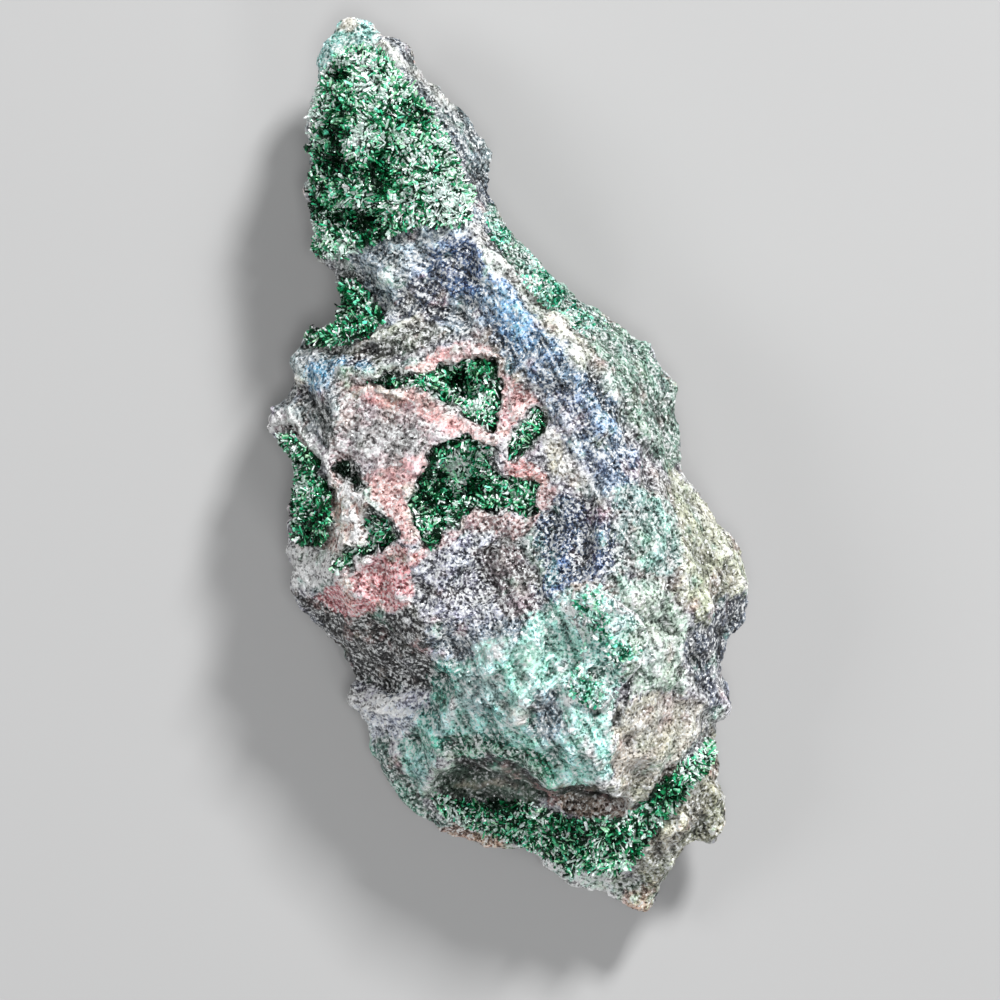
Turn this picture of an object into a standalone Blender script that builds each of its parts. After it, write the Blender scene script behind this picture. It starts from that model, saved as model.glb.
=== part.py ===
"""A brochantite specimen: a broken lump of matrix with crusts of green crystals in its hollows.

Metres, +Z up. The origin is on the surface that the lump rests on, under the middle of its
length and width. +Y runs to the narrow neck, and +X to the flank of the long ridge.
Plan positions and heights below are millimetres, read along the specimen's own length and width.
"""

import math
import random

import bmesh
import bpy
from mathutils import Euler, Matrix, Vector, noise
from mathutils.bvhtree import BVHTree
from mathutils.geometry import delaunay_2d_cdt

MM = 0.001
SEED = 11

# The outline seen from above, clockwise from the tip of the neck.
OUTLINE = (
    (-17.7, 50.5), (-16.2, 49.8), (-14.3, 48.4), (-12.2, 48.2), (-10.0, 46.2), (-8.7, 44.0),
    (-7.6, 42.2), (-5.6, 41.0), (-4.0, 40.0), (-2.6, 37.8), (-2.4, 36.0), (-1.7, 34.6),
    (-2.7, 33.0), (-2.1, 31.8), (-2.0, 30.2), (-1.4, 29.0), (0.8, 26.4), (1.2, 25.4),
    (3.2, 24.0), (4.8, 21.6), (7.0, 19.6), (9.0, 18.4), (10.3, 17.2), (11.8, 17.0),
    (12.4, 15.6), (14.0, 14.1), (15.9, 13.5), (17.3, 11.2), (18.8, 9.4), (19.3, 7.0),
    (19.8, 5.5), (19.6, 3.0), (19.7, 1.2), (20.2, -1.2), (21.5, -3.0), (23.0, -4.8),
    (24.8, -7.5), (26.5, -10.0), (27.6, -13.0), (28.0, -15.5), (27.0, -17.6), (25.4, -20.0),
    (25.2, -23.0), (25.3, -25.5), (25.9, -27.8), (24.2, -29.5), (24.6, -32.0), (25.7, -34.2),
    (25.0, -36.0), (25.6, -38.0), (25.2, -40.2), (24.4, -42.3), (21.6, -43.2), (20.4, -43.8),
    (19.0, -46.2), (17.4, -48.8), (16.8, -50.1), (15.3, -50.9), (14.0, -50.2), (12.0, -49.9),
    (9.3, -49.0), (6.8, -47.8), (5.3, -46.4), (3.3, -45.8), (2.4, -44.6), (0.7, -44.0),
    (-2.0, -43.8), (-4.0, -42.8), (-6.4, -42.1), (-8.0, -41.4), (-10.0, -39.9), (-11.6, -38.4),
    (-13.5, -35.6), (-14.5, -33.5), (-15.7, -31.5), (-17.3, -29.0), (-18.0, -26.2), (-18.0, -24.2),
    (-19.5, -22.0), (-21.2, -19.5), (-22.3, -17.6), (-23.7, -15.6), (-24.4, -14.0), (-24.0, -12.0),
    (-24.5, -9.7), (-24.6, -6.5), (-25.1, -5.2), (-24.5, -3.8), (-24.2, -1.6), (-24.2, 0.2),
    (-25.0, 1.3), (-26.4, 2.6), (-27.8, 3.4), (-27.6, 4.7), (-26.8, 6.1), (-25.2, 8.0),
    (-24.8, 10.2), (-24.4, 12.0), (-23.6, 13.5), (-23.6, 15.0), (-22.4, 15.8), (-20.6, 15.2),
    (-19.2, 16.0), (-18.8, 17.6), (-18.9, 19.5), (-19.8, 21.0), (-20.8, 22.0), (-22.4, 22.9),
    (-22.5, 24.0), (-22.2, 25.6), (-22.1, 27.0), (-22.3, 28.2), (-23.0, 29.8), (-23.1, 31.2),
    (-22.1, 32.8), (-22.1, 35.0), (-22.7, 37.0), (-22.7, 39.5), (-22.3, 41.5), (-21.5, 43.2),
    (-21.2, 44.6), (-21.2, 46.2), (-20.6, 47.8), (-19.3, 49.3), (-18.6, 50.1),
)

# Heights of the outline's edge above the surface that the lump rests on.
RIM_HEIGHTS = (
    (-18, 51, 12.0), (-22.5, 38, 10.5), (-22, 24, 10.5), (-19, 18, 11.0), (-25, 8, 12.0),
    (-27, 3, 12.5), (-24.5, -6, 10.0), (-24, -14, 13.0), (-19, -22, 9.5), (-16, -31, 8.0),
    (-8, -41, 6.5), (3, -45.5, 6.0), (15, -51, 7.0), (21, -43, 8.0), (25, -36, 8.5),
    (25.5, -27, 9.5), (27, -15, 11.0), (22, -3, 13.5), (19.5, 4, 13.5), (16, 13, 13.0),
    (8, 19, 13.0), (2, 25, 13.5), (-2, 31, 13.0), (-3, 37, 12.0), (-8, 43, 12.5), (-12, 48, 13.0),
)

# Spot heights of the upper side, feature by feature.
RELIEF = {
    "neck": (
        (-17.4, 49.2, 14.5), (-19.2, 46.5, 13.5), (-15.6, 46.0, 17.0), (-12.6, 46.2, 16.5),
        (-20.4, 42.6, 13.0), (-17.2, 42.0, 17.5), (-13.2, 42.4, 19.0), (-10.0, 42.6, 17.5),
        (-20.8, 37.6, 14.0), (-17.6, 37.4, 18.5), (-13.6, 38.0, 20.0), (-9.4, 38.6, 19.5),
        (-6.0, 38.6, 17.0), (-20.6, 32.4, 13.0), (-17.4, 32.8, 18.0), (-13.4, 33.2, 20.0),
        (-8.8, 33.6, 20.5), (-4.8, 34.2, 18.5), (-20.8, 28.2, 12.5), (-17.0, 28.4, 15.5),
        (-13.0, 28.6, 17.5), (-8.4, 29.2, 21.0), (-4.6, 30.0, 20.5), (-20.6, 24.6, 13.5),
        (-17.2, 24.2, 17.5), (-12.4, 25.6, 20.5), (-7.2, 25.4, 22.5), (-3.4, 26.4, 22.5),
    ),
    "saddle": (
        (-17.0, 21.0, 16.0), (-14.6, 21.4, 20.5), (-11.2, 21.4, 22.0), (-8.2, 20.2, 21.5),
        (-5.2, 21.6, 22.5), (-16.4, 17.4, 15.5), (-12.8, 17.6, 20.5), (-9.0, 16.4, 21.0),
        (-5.0, 17.0, 22.5), (-20.0, 14.0, 14.5), (-16.0, 15.0, 19.0),
    ),
    "crest": (
        (-1.4, 21.6, 26.0), (0.8, 17.8, 26.0), (4.2, 14.6, 28.5), (7.4, 11.0, 29.0),
        (9.6, 6.6, 29.5), (10.8, 1.6, 30.0), (11.2, -4.0, 30.5), (10.6, -9.6, 31.0),
        (8.8, -15.4, 30.5),
    ),
    "plateau": (
        (-20.0, 10.6, 19.5), (-16.6, 12.6, 21.0), (-12.2, 12.8, 22.5), (-8.2, 13.6, 23.5),
        (-3.2, 14.0, 24.0), (0.4, 12.0, 26.0), (-17.8, 7.0, 22.5), (-13.4, 6.4, 25.0),
        (-9.6, 5.0, 26.0), (-6.0, 3.4, 26.5), (-14.6, 2.2, 25.0), (-11.2, 0.6, 26.0),
        (-0.2, 7.0, 26.5), (3.4, 8.4, 27.5), (5.2, 3.6, 28.0), (1.4, 0.0, 27.0),
        (5.4, -2.4, 28.0), (-18.4, -0.6, 22.5), (-17.6, -4.4, 23.5), (-13.4, -3.4, 26.0),
        (-12.2, -6.4, 26.5), (-10.6, -8.4, 26.5), (-19.2, -8.6, 22.0), (-15.2, -11.0, 24.0),
        (-10.6, -11.6, 26.5), (-5.0, -9.6, 27.0), (0.6, -7.2, 27.5), (5.4, -8.4, 27.0),
        (-7.6, -14.6, 27.0), (-2.6, -13.4, 25.5), (2.2, -13.0, 27.5),
    ),
    "left_shoulder": (
        (-23.6, 11.8, 15.0), (-21.8, 13.2, 15.5), (-22.6, 8.6, 17.5), (-24.6, 6.0, 15.5),
        (-21.0, 6.0, 20.0), (-25.6, 4.0, 14.0), (-22.8, 3.2, 17.5), (-20.6, 1.6, 20.5),
        (-22.6, -1.0, 14.5), (-20.2, -2.6, 20.0), (-22.4, -5.0, 14.0), (-20.0, -6.4, 20.5),
        (-22.4, -8.4, 14.5), (-23.0, -12.0, 17.0), (-21.4, -14.4, 18.5),
    ),
    "dark_facet": (
        (-17.6, -16.2, 20.5), (-13.4, -16.8, 23.5), (-9.4, -18.8, 25.5), (-7.2, -22.0, 24.0),
        (-17.6, -20.4, 14.5), (-12.8, -21.2, 18.5), (-15.8, -24.8, 11.0), (-11.4, -25.4, 14.0),
        (-8.6, -25.4, 18.5),
    ),
    "lower_left": (
        (-15.8, -28.2, 11.5), (-12.2, -28.0, 15.0), (-9.2, -29.4, 17.5), (-13.4, -31.6, 11.0),
        (-10.4, -33.4, 13.0), (-11.4, -36.2, 9.5),
    ),
    "lobes": (
        (-4.6, -19.2, 26.5), (0.0, -18.0, 28.5), (4.4, -18.2, 28.0), (-5.4, -24.0, 24.0),
        (-1.2, -22.4, 28.0), (2.2, -26.4, 27.5), (-2.6, -27.4, 24.0), (-5.8, -28.6, 21.0),
        (-7.6, -32.4, 17.0), (-3.4, -31.2, 20.5), (0.6, -30.6, 22.5), (4.0, -29.6, 24.5),
        (6.0, -23.6, 26.5), (7.6, -29.0, 27.0), (6.0, -33.4, 23.5), (9.8, -32.4, 25.5),
        (11.8, -35.4, 23.0),
    ),
    "lip": (
        (-8.6, -34.8, 15.0), (-5.0, -33.4, 18.5), (-0.6, -32.8, 20.5), (3.2, -34.4, 21.0),
        (5.6, -36.6, 20.5), (8.6, -35.6, 21.0), (12.4, -37.2, 19.5),
    ),
    "terrace": (
        (-7.6, -38.4, 9.5), (-4.0, -37.0, 12.0), (0.2, -37.4, 13.0), (4.0, -39.0, 13.0),
        (8.6, -39.2, 15.0), (13.0, -40.4, 15.0), (-3.0, -40.8, 9.0), (2.0, -42.0, 9.5),
        (6.2, -43.4, 10.0), (10.4, -44.4, 11.0), (14.0, -43.4, 12.5), (11.0, -47.6, 9.0),
        (6.6, -45.8, 8.5),
    ),
    "upper_flank": (
        (1.0, 23.2, 20.0), (4.4, 19.4, 22.0), (8.0, 16.2, 23.0), (11.4, 13.4, 23.5),
        (14.6, 11.2, 21.0), (12.0, 8.4, 26.5), (16.8, 8.0, 19.5), (15.2, 4.4, 24.0),
        (18.2, 4.0, 18.0), (13.8, -0.8, 28.0), (17.0, -1.2, 23.5),
    ),
    "right_flank": (
        (14.2, -6.4, 28.5), (18.0, -5.6, 25.5), (22.0, -7.4, 19.5), (15.8, -12.0, 28.5),
        (19.4, -11.2, 25.0), (22.8, -12.6, 22.5), (25.6, -12.8, 16.5), (13.2, -17.2, 29.0),
        (17.4, -17.6, 25.5), (21.4, -18.0, 23.0), (24.6, -17.8, 16.0), (11.0, -23.4, 26.0),
        (15.0, -23.6, 25.5), (19.6, -23.4, 22.0), (23.4, -22.8, 15.5), (23.8, -27.0, 13.5),
        (20.6, -28.0, 18.5),
    ),
    "lower_right": (
        (12.4, -28.4, 25.0), (16.4, -28.6, 22.5), (14.2, -33.0, 22.0), (18.6, -32.0, 20.0),
        (22.2, -30.6, 15.5), (15.0, -36.8, 18.5), (18.0, -35.2, 18.0), (17.4, -38.4, 14.0),
        (21.2, -34.8, 14.0), (21.4, -38.6, 14.5), (23.8, -36.8, 11.5), (19.4, -41.6, 14.0),
        (23.0, -40.6, 11.0), (17.2, -45.0, 12.0), (14.8, -47.4, 10.0), (15.6, -49.8, 8.5),
    ),
}

# The broken face that the lump rests on, and spot heights of the underside around it.
BASE = (
    (-9.5, 20.0), (-2.0, 19.0), (6.5, 11.0), (13.0, 3.0), (17.5, -7.0), (18.0, -19.0),
    (15.0, -31.0), (6.0, -36.0), (-4.5, -31.0), (-11.5, -20.0), (-16.0, -5.0), (-15.5, 9.0),
)
UNDERSIDE = (
    (-17.6, 48.0, 9.0), (-13.0, 45.0, 8.5), (-18.6, 41.0, 6.5), (-11.6, 40.0, 6.0),
    (-6.6, 39.0, 8.0), (-19.0, 33.0, 6.0), (-12.6, 33.0, 4.0), (-5.4, 33.0, 6.5),
    (-18.6, 26.0, 6.0), (-11.0, 26.0, 2.5), (-3.4, 26.6, 6.0), (-16.6, 16.0, 4.5),
    (-22.0, 9.0, 7.0), (-23.6, 4.0, 8.0), (-20.6, -4.0, 4.0), (-21.0, -12.0, 6.0),
    (-17.0, -19.0, 4.0), (-14.6, -28.0, 3.5), (-9.4, -34.0, 2.5), (-3.0, -38.6, 2.5),
    (4.6, -42.0, 2.0), (12.0, -45.6, 3.0), (18.0, -41.6, 3.5), (22.4, -35.0, 4.0),
    (22.4, -26.0, 5.0), (24.0, -15.0, 6.5), (21.0, -5.0, 7.5), (17.4, 5.0, 6.5),
    (13.6, 12.0, 8.0), (6.0, 17.0, 6.0), (1.4, 22.0, 8.0),
)

# Hollows: the mouth seen from above, the height of the floor, and that of a level over the mouth.
HOLLOWS = {
    "upper_vug": (
        ((-16.2, 8.6), (-15.4, 9.8), (-13.8, 10.2), (-11.0, 9.4), (-9.4, 10.2), (-7.2, 10.8),
         (-5.4, 12.0), (-3.6, 11.8), (-1.1, 11.0), (-0.8, 7.0), (-1.3, 3.2), (-4.0, 4.2),
         (-5.8, 5.4), (-7.4, 7.2), (-10.8, 8.3), (-13.8, 8.7), (-15.2, 8.0)),
        19.0, 30.0,
    ),
    "right_vug": (
        ((2.6, 6.2), (4.1, 6.0), (4.1, 3.6), (2.9, 1.4), (0.3, 0.6), (0.1, 2.6), (1.8, 4.6)),
        23.5, 31.0,
    ),
    "middle_vug": (
        ((-7.4, 1.9), (-4.4, 2.9), (-0.5, 1.5), (-1.5, -0.6), (-0.2, -1.8), (4.0, -2.3),
         (3.8, -4.4), (2.6, -5.8), (-0.8, -4.9), (-4.4, -5.4), (-5.8, -7.4), (-7.6, -9.3),
         (-9.8, -9.6), (-9.5, -7.8), (-11.0, -5.2), (-10.4, -3.0), (-8.6, 0.5)),
        19.5, 31.0,
    ),
    "small_vug": (
        ((-18.8, 0.3), (-17.2, 0.2), (-15.8, -1.4), (-15.9, -2.8), (-17.5, -2.3), (-18.9, -1.5)),
        17.5, 28.0,
    ),
    "lower_vug": (
        ((-15.6, -4.7), (-14.2, -6.0), (-12.1, -8.4), (-12.4, -9.4), (-14.6, -9.5),
         (-17.0, -11.6), (-19.0, -12.6), (-19.6, -12.0), (-18.2, -10.2), (-16.2, -8.4)),
        19.0, 29.0,
    ),
}

# A hollow's width at fractions of the way from its floor to its upper level.
VUG_PROFILE = ((0.0, 0.72), (0.16, 0.97), (0.42, 1.04), (1.0, 1.04))

# Rounded hollows: centre, then half sizes. The first two undercut the lip over the terrace.
SCOOPS = {
    "lip_hollow_left": ((-2.2, -38.0, 13.6), (7.6, 5.2, 4.6)),
    "lip_hollow_right": ((9.4, -39.0, 15.6), (4.8, 3.4, 3.6)),
    "notch_hollow": ((-18.2, 18.6, 17.0), (3.4, 2.6, 4.0)),
    "neck_hollow": ((-16.4, 27.0, 19.0), (3.0, 1.6, 4.4)),
    "crown_pit": ((13.2, -21.6, 28.6), (1.3, 2.0, 3.0)),
    "lobe_pit": ((9.6, -26.4, 28.2), (1.6, 1.0, 2.8)),
}

# Crusts of crystals: the footprint seen from above, the crystals' spacing and reach, and how
# many long crystals stand out of the crust.
DRUSES = {
    "neck_druse": (
        ((-20.2, 44.6), (-17.6, 46.8), (-14.8, 46.6), (-12.8, 44.4), (-10.6, 41.6), (-8.4, 39.0),
         (-6.6, 36.2), (-5.4, 33.0), (-3.6, 30.0), (-4.2, 27.2), (-7.4, 26.6), (-10.2, 27.0),
         (-13.6, 25.6), (-16.4, 24.6), (-19.0, 23.4), (-21.6, 23.6), (-21.4, 26.4), (-22.0, 30.6),
         (-21.3, 34.0), (-21.9, 38.0), (-21.4, 41.4)),
        2.5, 1.6, 20,
    ),
    "notch_druse": (
        ((-18.8, 20.8), (-17.0, 20.4), (-15.4, 18.2), (-13.9, 16.2), (-15.6, 14.6), (-17.4, 13.8),
         (-19.6, 13.5), (-22.6, 13.7), (-22.8, 14.9), (-20.8, 14.6), (-18.6, 15.6), (-18.0, 18.0)),
        2.0, 1.2, 5,
    ),
    "left_rim_druse": (
        ((-25.8, 3.0), (-24.4, 3.3), (-23.0, 1.8), (-21.2, 0.4), (-20.4, -1.2), (-20.1, -4.2),
         (-20.0, -6.8), (-20.8, -8.8), (-23.2, -9.0), (-24.0, -7.0), (-24.1, -4.4), (-23.6, -1.8),
         (-23.7, 0.4), (-24.6, 1.6)),
        2.1, 1.3, 6,
    ),
    "upper_vug_druse": (HOLLOWS["upper_vug"][0], 2.2, 1.2, 7),
    "right_vug_druse": (HOLLOWS["right_vug"][0], 1.9, 0.9, 2),
    "middle_vug_druse": (HOLLOWS["middle_vug"][0], 2.2, 1.2, 8),
    "small_vug_druse": (HOLLOWS["small_vug"][0], 1.6, 0.8, 1),
    "lower_vug_druse": (HOLLOWS["lower_vug"][0], 2.0, 1.0, 3),
    "terrace_druse": (
        ((-8.4, -37.6), (-6.0, -38.4), (-3.0, -38.8), (0.0, -38.6), (3.2, -38.8), (6.0, -40.0),
         (9.0, -40.6), (12.0, -40.4), (14.4, -39.8), (15.8, -38.4), (16.8, -36.6), (18.4, -35.7),
         (20.0, -34.2), (21.8, -32.8), (23.2, -31.2), (23.4, -32.8), (22.3, -34.8), (20.4, -36.6),
         (19.0, -38.6), (17.4, -40.4), (15.6, -42.8), (14.6, -44.8), (12.8, -46.2), (10.6, -46.2),
         (8.0, -46.0), (5.6, -45.0), (3.6, -44.0), (1.6, -43.0), (-1.4, -42.0), (-4.2, -41.2),
         (-6.8, -39.8)),
        2.6, 1.3, 10,
    ),
    "crown_druse": (
        ((7.5, -14.2), (9.5, -13.6), (12.0, -15.4), (14.5, -17.0), (15.8, -19.5), (14.8, -22.6),
         (12.6, -25.0), (10.6, -27.4), (7.8, -26.6), (7.0, -24.5), (8.8, -22.0), (8.6, -19.5),
         (7.4, -17.0)),
        2.3, 0.7, 4,
    ),
    "shoulder_druse": (
        ((-2.2, 28.0), (-0.8, 27.2), (1.0, 24.8), (3.0, 23.0), (4.4, 21.0), (7.0, 18.8),
         (9.5, 17.2), (11.3, 15.6), (9.8, 13.4), (8.0, 14.2), (5.5, 17.0), (3.4, 19.0),
         (1.5, 20.8), (0.2, 22.8), (-1.2, 25.0), (-2.8, 26.8)),
        2.3, 0.7, 4,
    ),
}

# The matrix: lengths in millimetres
MATRIX_TRIANGLES = 2750
BODY_SUBDIVISIONS = 3
EDGE_BAND = 1.6
SMOOTHING_PASSES = 2
SMOOTHING_FACTOR = 0.5
CRAG_SIZE = 7.0
CRAG_HEIGHT = 1.1
CRAG_MEAN = 1.1  # the crag noise's mean, taken off so that the surface stays where it is
GRAIN_SIZE = 2.6
GRAIN_HEIGHT = 0.45
FLAT_TOLERANCE = 0.02
SCOOP_LUMPS = 0.18  # the share by which a scoop's ball is lumpy
ABOVE_ALL = 100.0  # a height over the whole specimen, for looking down on it

# The crusts: lengths in millimetres
CLEARANCE = 0.3
CRUST_THICKNESS = 0.9
BED_DEPTH = 0.5  # how far a crust's bed sinks into the matrix before it is cut back
BOWL_DEPTH = 1.0  # the same under a hollow's floor
WALL_REACH = 1.3  # how far from the mouth's edge a hollow's crust climbs its wall
BRIM_DROP = 0.7  # how far under the mouth it stops
BRIM_SAMPLE = 1.2  # where the mouth's height is read: the way from its middle, past its edge
LEAST_WALL = 2.0
LEAST_CLIMB = 0.5
JITTER = 0.25  # share of the crystals' spacing
EDGE_SPACE = 0.45  # the same
TIP_LEAN = 0.25  # the same
LEAST_TIP = 0.45  # share of the crystals' reach
STEEPEST = 0.4  # the upward part of a normal below which a slope counts no steeper
LEAST_RISE = 0.55  # the upward part of a normal above which a long crystal can stand
CRYSTAL_WIDTH = 1.0
CRYSTAL_TAPER = 0.91
CRYSTAL_FLATNESS = 0.62
CRYSTAL_POINT = 0.6  # share of its width
CRYSTAL_ROOT = 0.7  # share of the crust's thickness
CRYSTAL_TILT = 0.5  # radians

MATRIX_COLOUR = (0.36, 0.35, 0.38, 1.0)
DRUSE_COLOUR = (0.01, 0.16, 0.08, 1.0)


def clear_scene():
    for obj in list(bpy.data.objects):
        bpy.data.objects.remove(obj, do_unlink=True)


def new_collection(name, shown):
    made = bpy.data.collections.new(name)
    bpy.context.scene.collection.children.link(made)
    made.hide_render = not shown
    return made


def new_object(name, bm, collection):
    """An object of this bmesh, whose coordinates are millimetres until here."""
    bmesh.ops.recalc_face_normals(bm, faces=bm.faces)
    bmesh.ops.scale(bm, vec=(MM, MM, MM), verts=bm.verts)
    mesh = bpy.data.meshes.new(name)
    bm.to_mesh(mesh)
    bm.free()
    obj = bpy.data.objects.new(name, mesh)
    collection.objects.link(obj)
    return obj


def as_helper(obj):
    obj.hide_render = True
    obj.display_type = "WIRE"
    return obj


def apply_modifiers(obj):
    """Makes the evaluated mesh the object's own and keeps only its largest closed piece."""
    bpy.context.view_layer.update()
    graph = bpy.context.evaluated_depsgraph_get()
    mesh = bpy.data.meshes.new_from_object(obj.evaluated_get(graph))
    obj.modifiers.clear()
    old = obj.data
    obj.data = mesh
    bpy.data.meshes.remove(old)
    bm = bmesh.new()
    bm.from_mesh(mesh)
    bmesh.ops.triangulate(bm, faces=bm.faces)
    pieces = islands(bm)
    pieces.sort(key=len)
    for piece in pieces[:-1]:
        bmesh.ops.delete(bm, geom=piece, context="VERTS")
    bm.to_mesh(mesh)
    bm.free()


def islands(bm):
    """The connected pieces of a bmesh, as lists of vertices."""
    unseen = set(bm.verts)
    found = []
    while unseen:
        stack = [unseen.pop()]
        piece = []
        while stack:
            vert = stack.pop()
            piece.append(vert)
            for edge in vert.link_edges:
                other = edge.other_vert(vert)
                if other in unseen:
                    unseen.remove(other)
                    stack.append(other)
        found.append(piece)
    return found


def boolean(obj, other, operation, solver="EXACT"):
    cut = obj.modifiers.new(operation.lower(), "BOOLEAN")
    cut.operation = operation
    cut.solver = solver
    cut.object = other


def rim_height(x, y):
    """Height of the outline's edge, blended from the anchors by distance."""
    near = [1.0 / ((x - ax) ** 2 + (y - ay) ** 2 + 1.0) ** 2 for ax, ay, _ in RIM_HEIGHTS]
    return sum(w * anchor[2] for w, anchor in zip(near, RIM_HEIGHTS)) / sum(near)


def skin(bm, verts, plan, rim_count):
    """Triangles over these vertices, laid out by their plan positions inside the closed rim."""
    flat = [Vector(p[:2]) for p in plan]
    result = delaunay_2d_cdt(flat, [], [list(range(rim_count))], 1, 1e-5)
    faces, sources = result[2], result[3]
    return [bm.faces.new([verts[sources[i][0]] for i in face]) for face in faces]


def rough_body(collection):
    """The lump before its hollows: an upper and a lower skin with a narrow band between them."""
    bm = bmesh.new()
    upper_spots = [spot for feature in RELIEF.values() for spot in feature]
    lower_spots = list(UNDERSIDE) + [(x, y, 0.0) for x, y in BASE]
    edges = []
    for spots, offset in ((upper_spots, 0.5 * EDGE_BAND), (lower_spots, -0.5 * EDGE_BAND)):
        rim = [bm.verts.new((x, y, rim_height(x, y) + offset)) for x, y in OUTLINE]
        verts = rim + [bm.verts.new(spot) for spot in spots]
        skin(bm, verts, [v.co for v in verts], len(rim))
        edges += [bm.edges.get(pair) for pair in zip(rim, rim[1:] + rim[:1])]
    bmesh.ops.bridge_loops(bm, edges=edges)
    body = new_object("matrix", bm, collection)
    fine = body.modifiers.new("fine", "SUBSURF")
    fine.subdivision_type = "SIMPLE"
    fine.levels = fine.render_levels = BODY_SUBDIVISIONS
    apply_modifiers(body)
    weather(body)
    fewer = body.modifiers.new("fewer", "DECIMATE")
    fewer.ratio = MATRIX_TRIANGLES / len(body.data.polygons)
    apply_modifiers(body)
    return body


def rock_noise(point):
    """How far a weathered surface stands out at a point, in millimetres."""
    crag = noise.ridged_multi_fractal(point / CRAG_SIZE, 0.9, 2.1, 3, 0.9, 1.8)
    grain = noise.noise(point / GRAIN_SIZE)
    return CRAG_HEIGHT * (crag - CRAG_MEAN) + GRAIN_HEIGHT * grain


def weather(body):
    """Blunts the body's edges and roughens its faces, but leaves the face that it rests on flat."""
    bm = bmesh.new()
    bm.from_mesh(body.data)
    bmesh.ops.scale(bm, vec=(1 / MM, 1 / MM, 1 / MM), verts=bm.verts)
    base = {v for v in bm.verts if v.co.z < FLAT_TOLERANCE}
    free = [v for v in bm.verts if v not in base]
    for _ in range(SMOOTHING_PASSES):
        bmesh.ops.smooth_vert(
            bm,
            verts=free,
            factor=SMOOTHING_FACTOR,
            use_axis_x=True,
            use_axis_y=True,
            use_axis_z=True,
        )
    bm.normal_update()
    moved = [(v, v.co + v.normal * rock_noise(v.co)) for v in free]
    for vert, position in moved:
        position.z = max(position.z, FLAT_TOLERANCE)
        vert.co = position
    bmesh.ops.scale(bm, vec=(MM, MM, MM), verts=bm.verts)
    bm.to_mesh(body.data)
    bm.free()


def vug_cutter(name, mouth, floor, top, collection):
    """A cup with the mouth's outline: narrower at its floor, widest a little under the mouth."""
    centre = sum((Vector(p) for p in mouth), Vector((0, 0))) / len(mouth)
    bm = bmesh.new()
    rings = []
    for rise, width in VUG_PROFILE:
        places = [centre + (Vector(p) - centre) * width for p in mouth]
        height = floor + rise * (top - floor)
        rings.append([bm.verts.new((x, y, height)) for x, y in places])
    for below, above in zip(rings, rings[1:]):
        for i in range(len(mouth)):
            bm.faces.new((below[i - 1], below[i], above[i], above[i - 1]))
    bm.faces.new(rings[0])
    bm.faces.new(rings[-1])
    return as_helper(new_object(name, bm, collection))


def scoop_cutter(name, centre, half_sizes, collection):
    """A lumpy ball, for the hollows under the lip, in the notch and in the lobes."""
    bm = bmesh.new()
    bmesh.ops.create_icosphere(bm, subdivisions=2, radius=1.0)
    for vert in bm.verts:
        lump = 1.0 + SCOOP_LUMPS * noise.noise(vert.co * 1.7 + Vector(centre))
        vert.co = Vector(c * s * lump + m for c, s, m in zip(vert.co, half_sizes, centre))
    return as_helper(new_object(name, bm, collection))


def hollow_out(body, cutters):
    for name, (mouth, floor, top) in HOLLOWS.items():
        boolean(body, vug_cutter(name, mouth, floor, top, cutters), "DIFFERENCE")
    for name, (centre, half_sizes) in SCOOPS.items():
        boolean(body, scoop_cutter(name, centre, half_sizes, cutters), "DIFFERENCE")
    apply_modifiers(body)


def grown_copy(body, amount, collection):
    """A copy of the body whose faces stand this much further out, to keep the crusts off it."""
    copy = bpy.data.objects.new("clearance", body.data.copy())
    collection.objects.link(copy)
    swell = copy.modifiers.new("swell", "DISPLACE")
    swell.strength = amount * MM
    swell.mid_level = 0.0
    apply_modifiers(copy)
    return as_helper(copy)


def inside(point, outline):
    """Whether a plan position lies inside an outline, by counting the edges to its right."""
    x, y = point
    odd = False
    for (ax, ay), (bx, by) in zip(outline, outline[1:] + outline[:1]):
        if (ay > y) != (by > y) and x < (bx - ax) * (y - ay) / (by - ay) + ax:
            odd = not odd
    return odd


def edge_distance(point, outline):
    """The distance from a plan position to an outline."""
    best = math.inf
    for a, b in zip(outline, outline[1:] + outline[:1]):
        a, b = Vector(a), Vector(b)
        along = max(0.0, min(1.0, (point - a).dot(b - a) / (b - a).length_squared))
        best = min(best, (point - a - (b - a) * along).length)
    return best


def scattered(footprint, spacing, rng):
    """Plan positions on a jittered triangular grid inside the footprint, clear of its edge."""
    xs = [p[0] for p in footprint]
    ys = [p[1] for p in footprint]
    row = spacing * math.sqrt(0.75)
    found = []
    for j in range(int((max(ys) - min(ys)) / row) + 2):
        for i in range(int((max(xs) - min(xs)) / spacing) + 2):
            shift = 0.5 * spacing * (j % 2)
            jitter = Vector((rng.uniform(-JITTER, JITTER), rng.uniform(-JITTER, JITTER)))
            point = Vector((min(xs) + i * spacing + shift, min(ys) + j * row)) + jitter * spacing
            clear = edge_distance(point, footprint) > EDGE_SPACE * spacing
            if clear and inside(point, footprint):
                found.append(point)
    return found


def surface_under(tree, point):
    """The matrix's surface below a plan position: its place and its outward direction, in mm."""
    high = Vector((point[0], point[1], ABOVE_ALL)) * MM
    hit, normal, _, _ = tree.ray_cast(high, Vector((0, 0, -1)))
    if hit is None:
        return Vector((point[0], point[1], rim_height(*point))), Vector((0, 0, 1))
    return hit / MM, normal


def draped(tree, plan):
    """Lower and upper heights of a crust that lies on the surface, thicker up and down a slope."""
    heights = []
    for point in plan:
        under, up = surface_under(tree, point)
        steep = 1.0 / max(up.z, STEEPEST)
        low = under.z - BED_DEPTH * steep
        heights.append((low, under.z + (CLEARANCE + CRUST_THICKNESS) * steep))
    return heights


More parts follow.
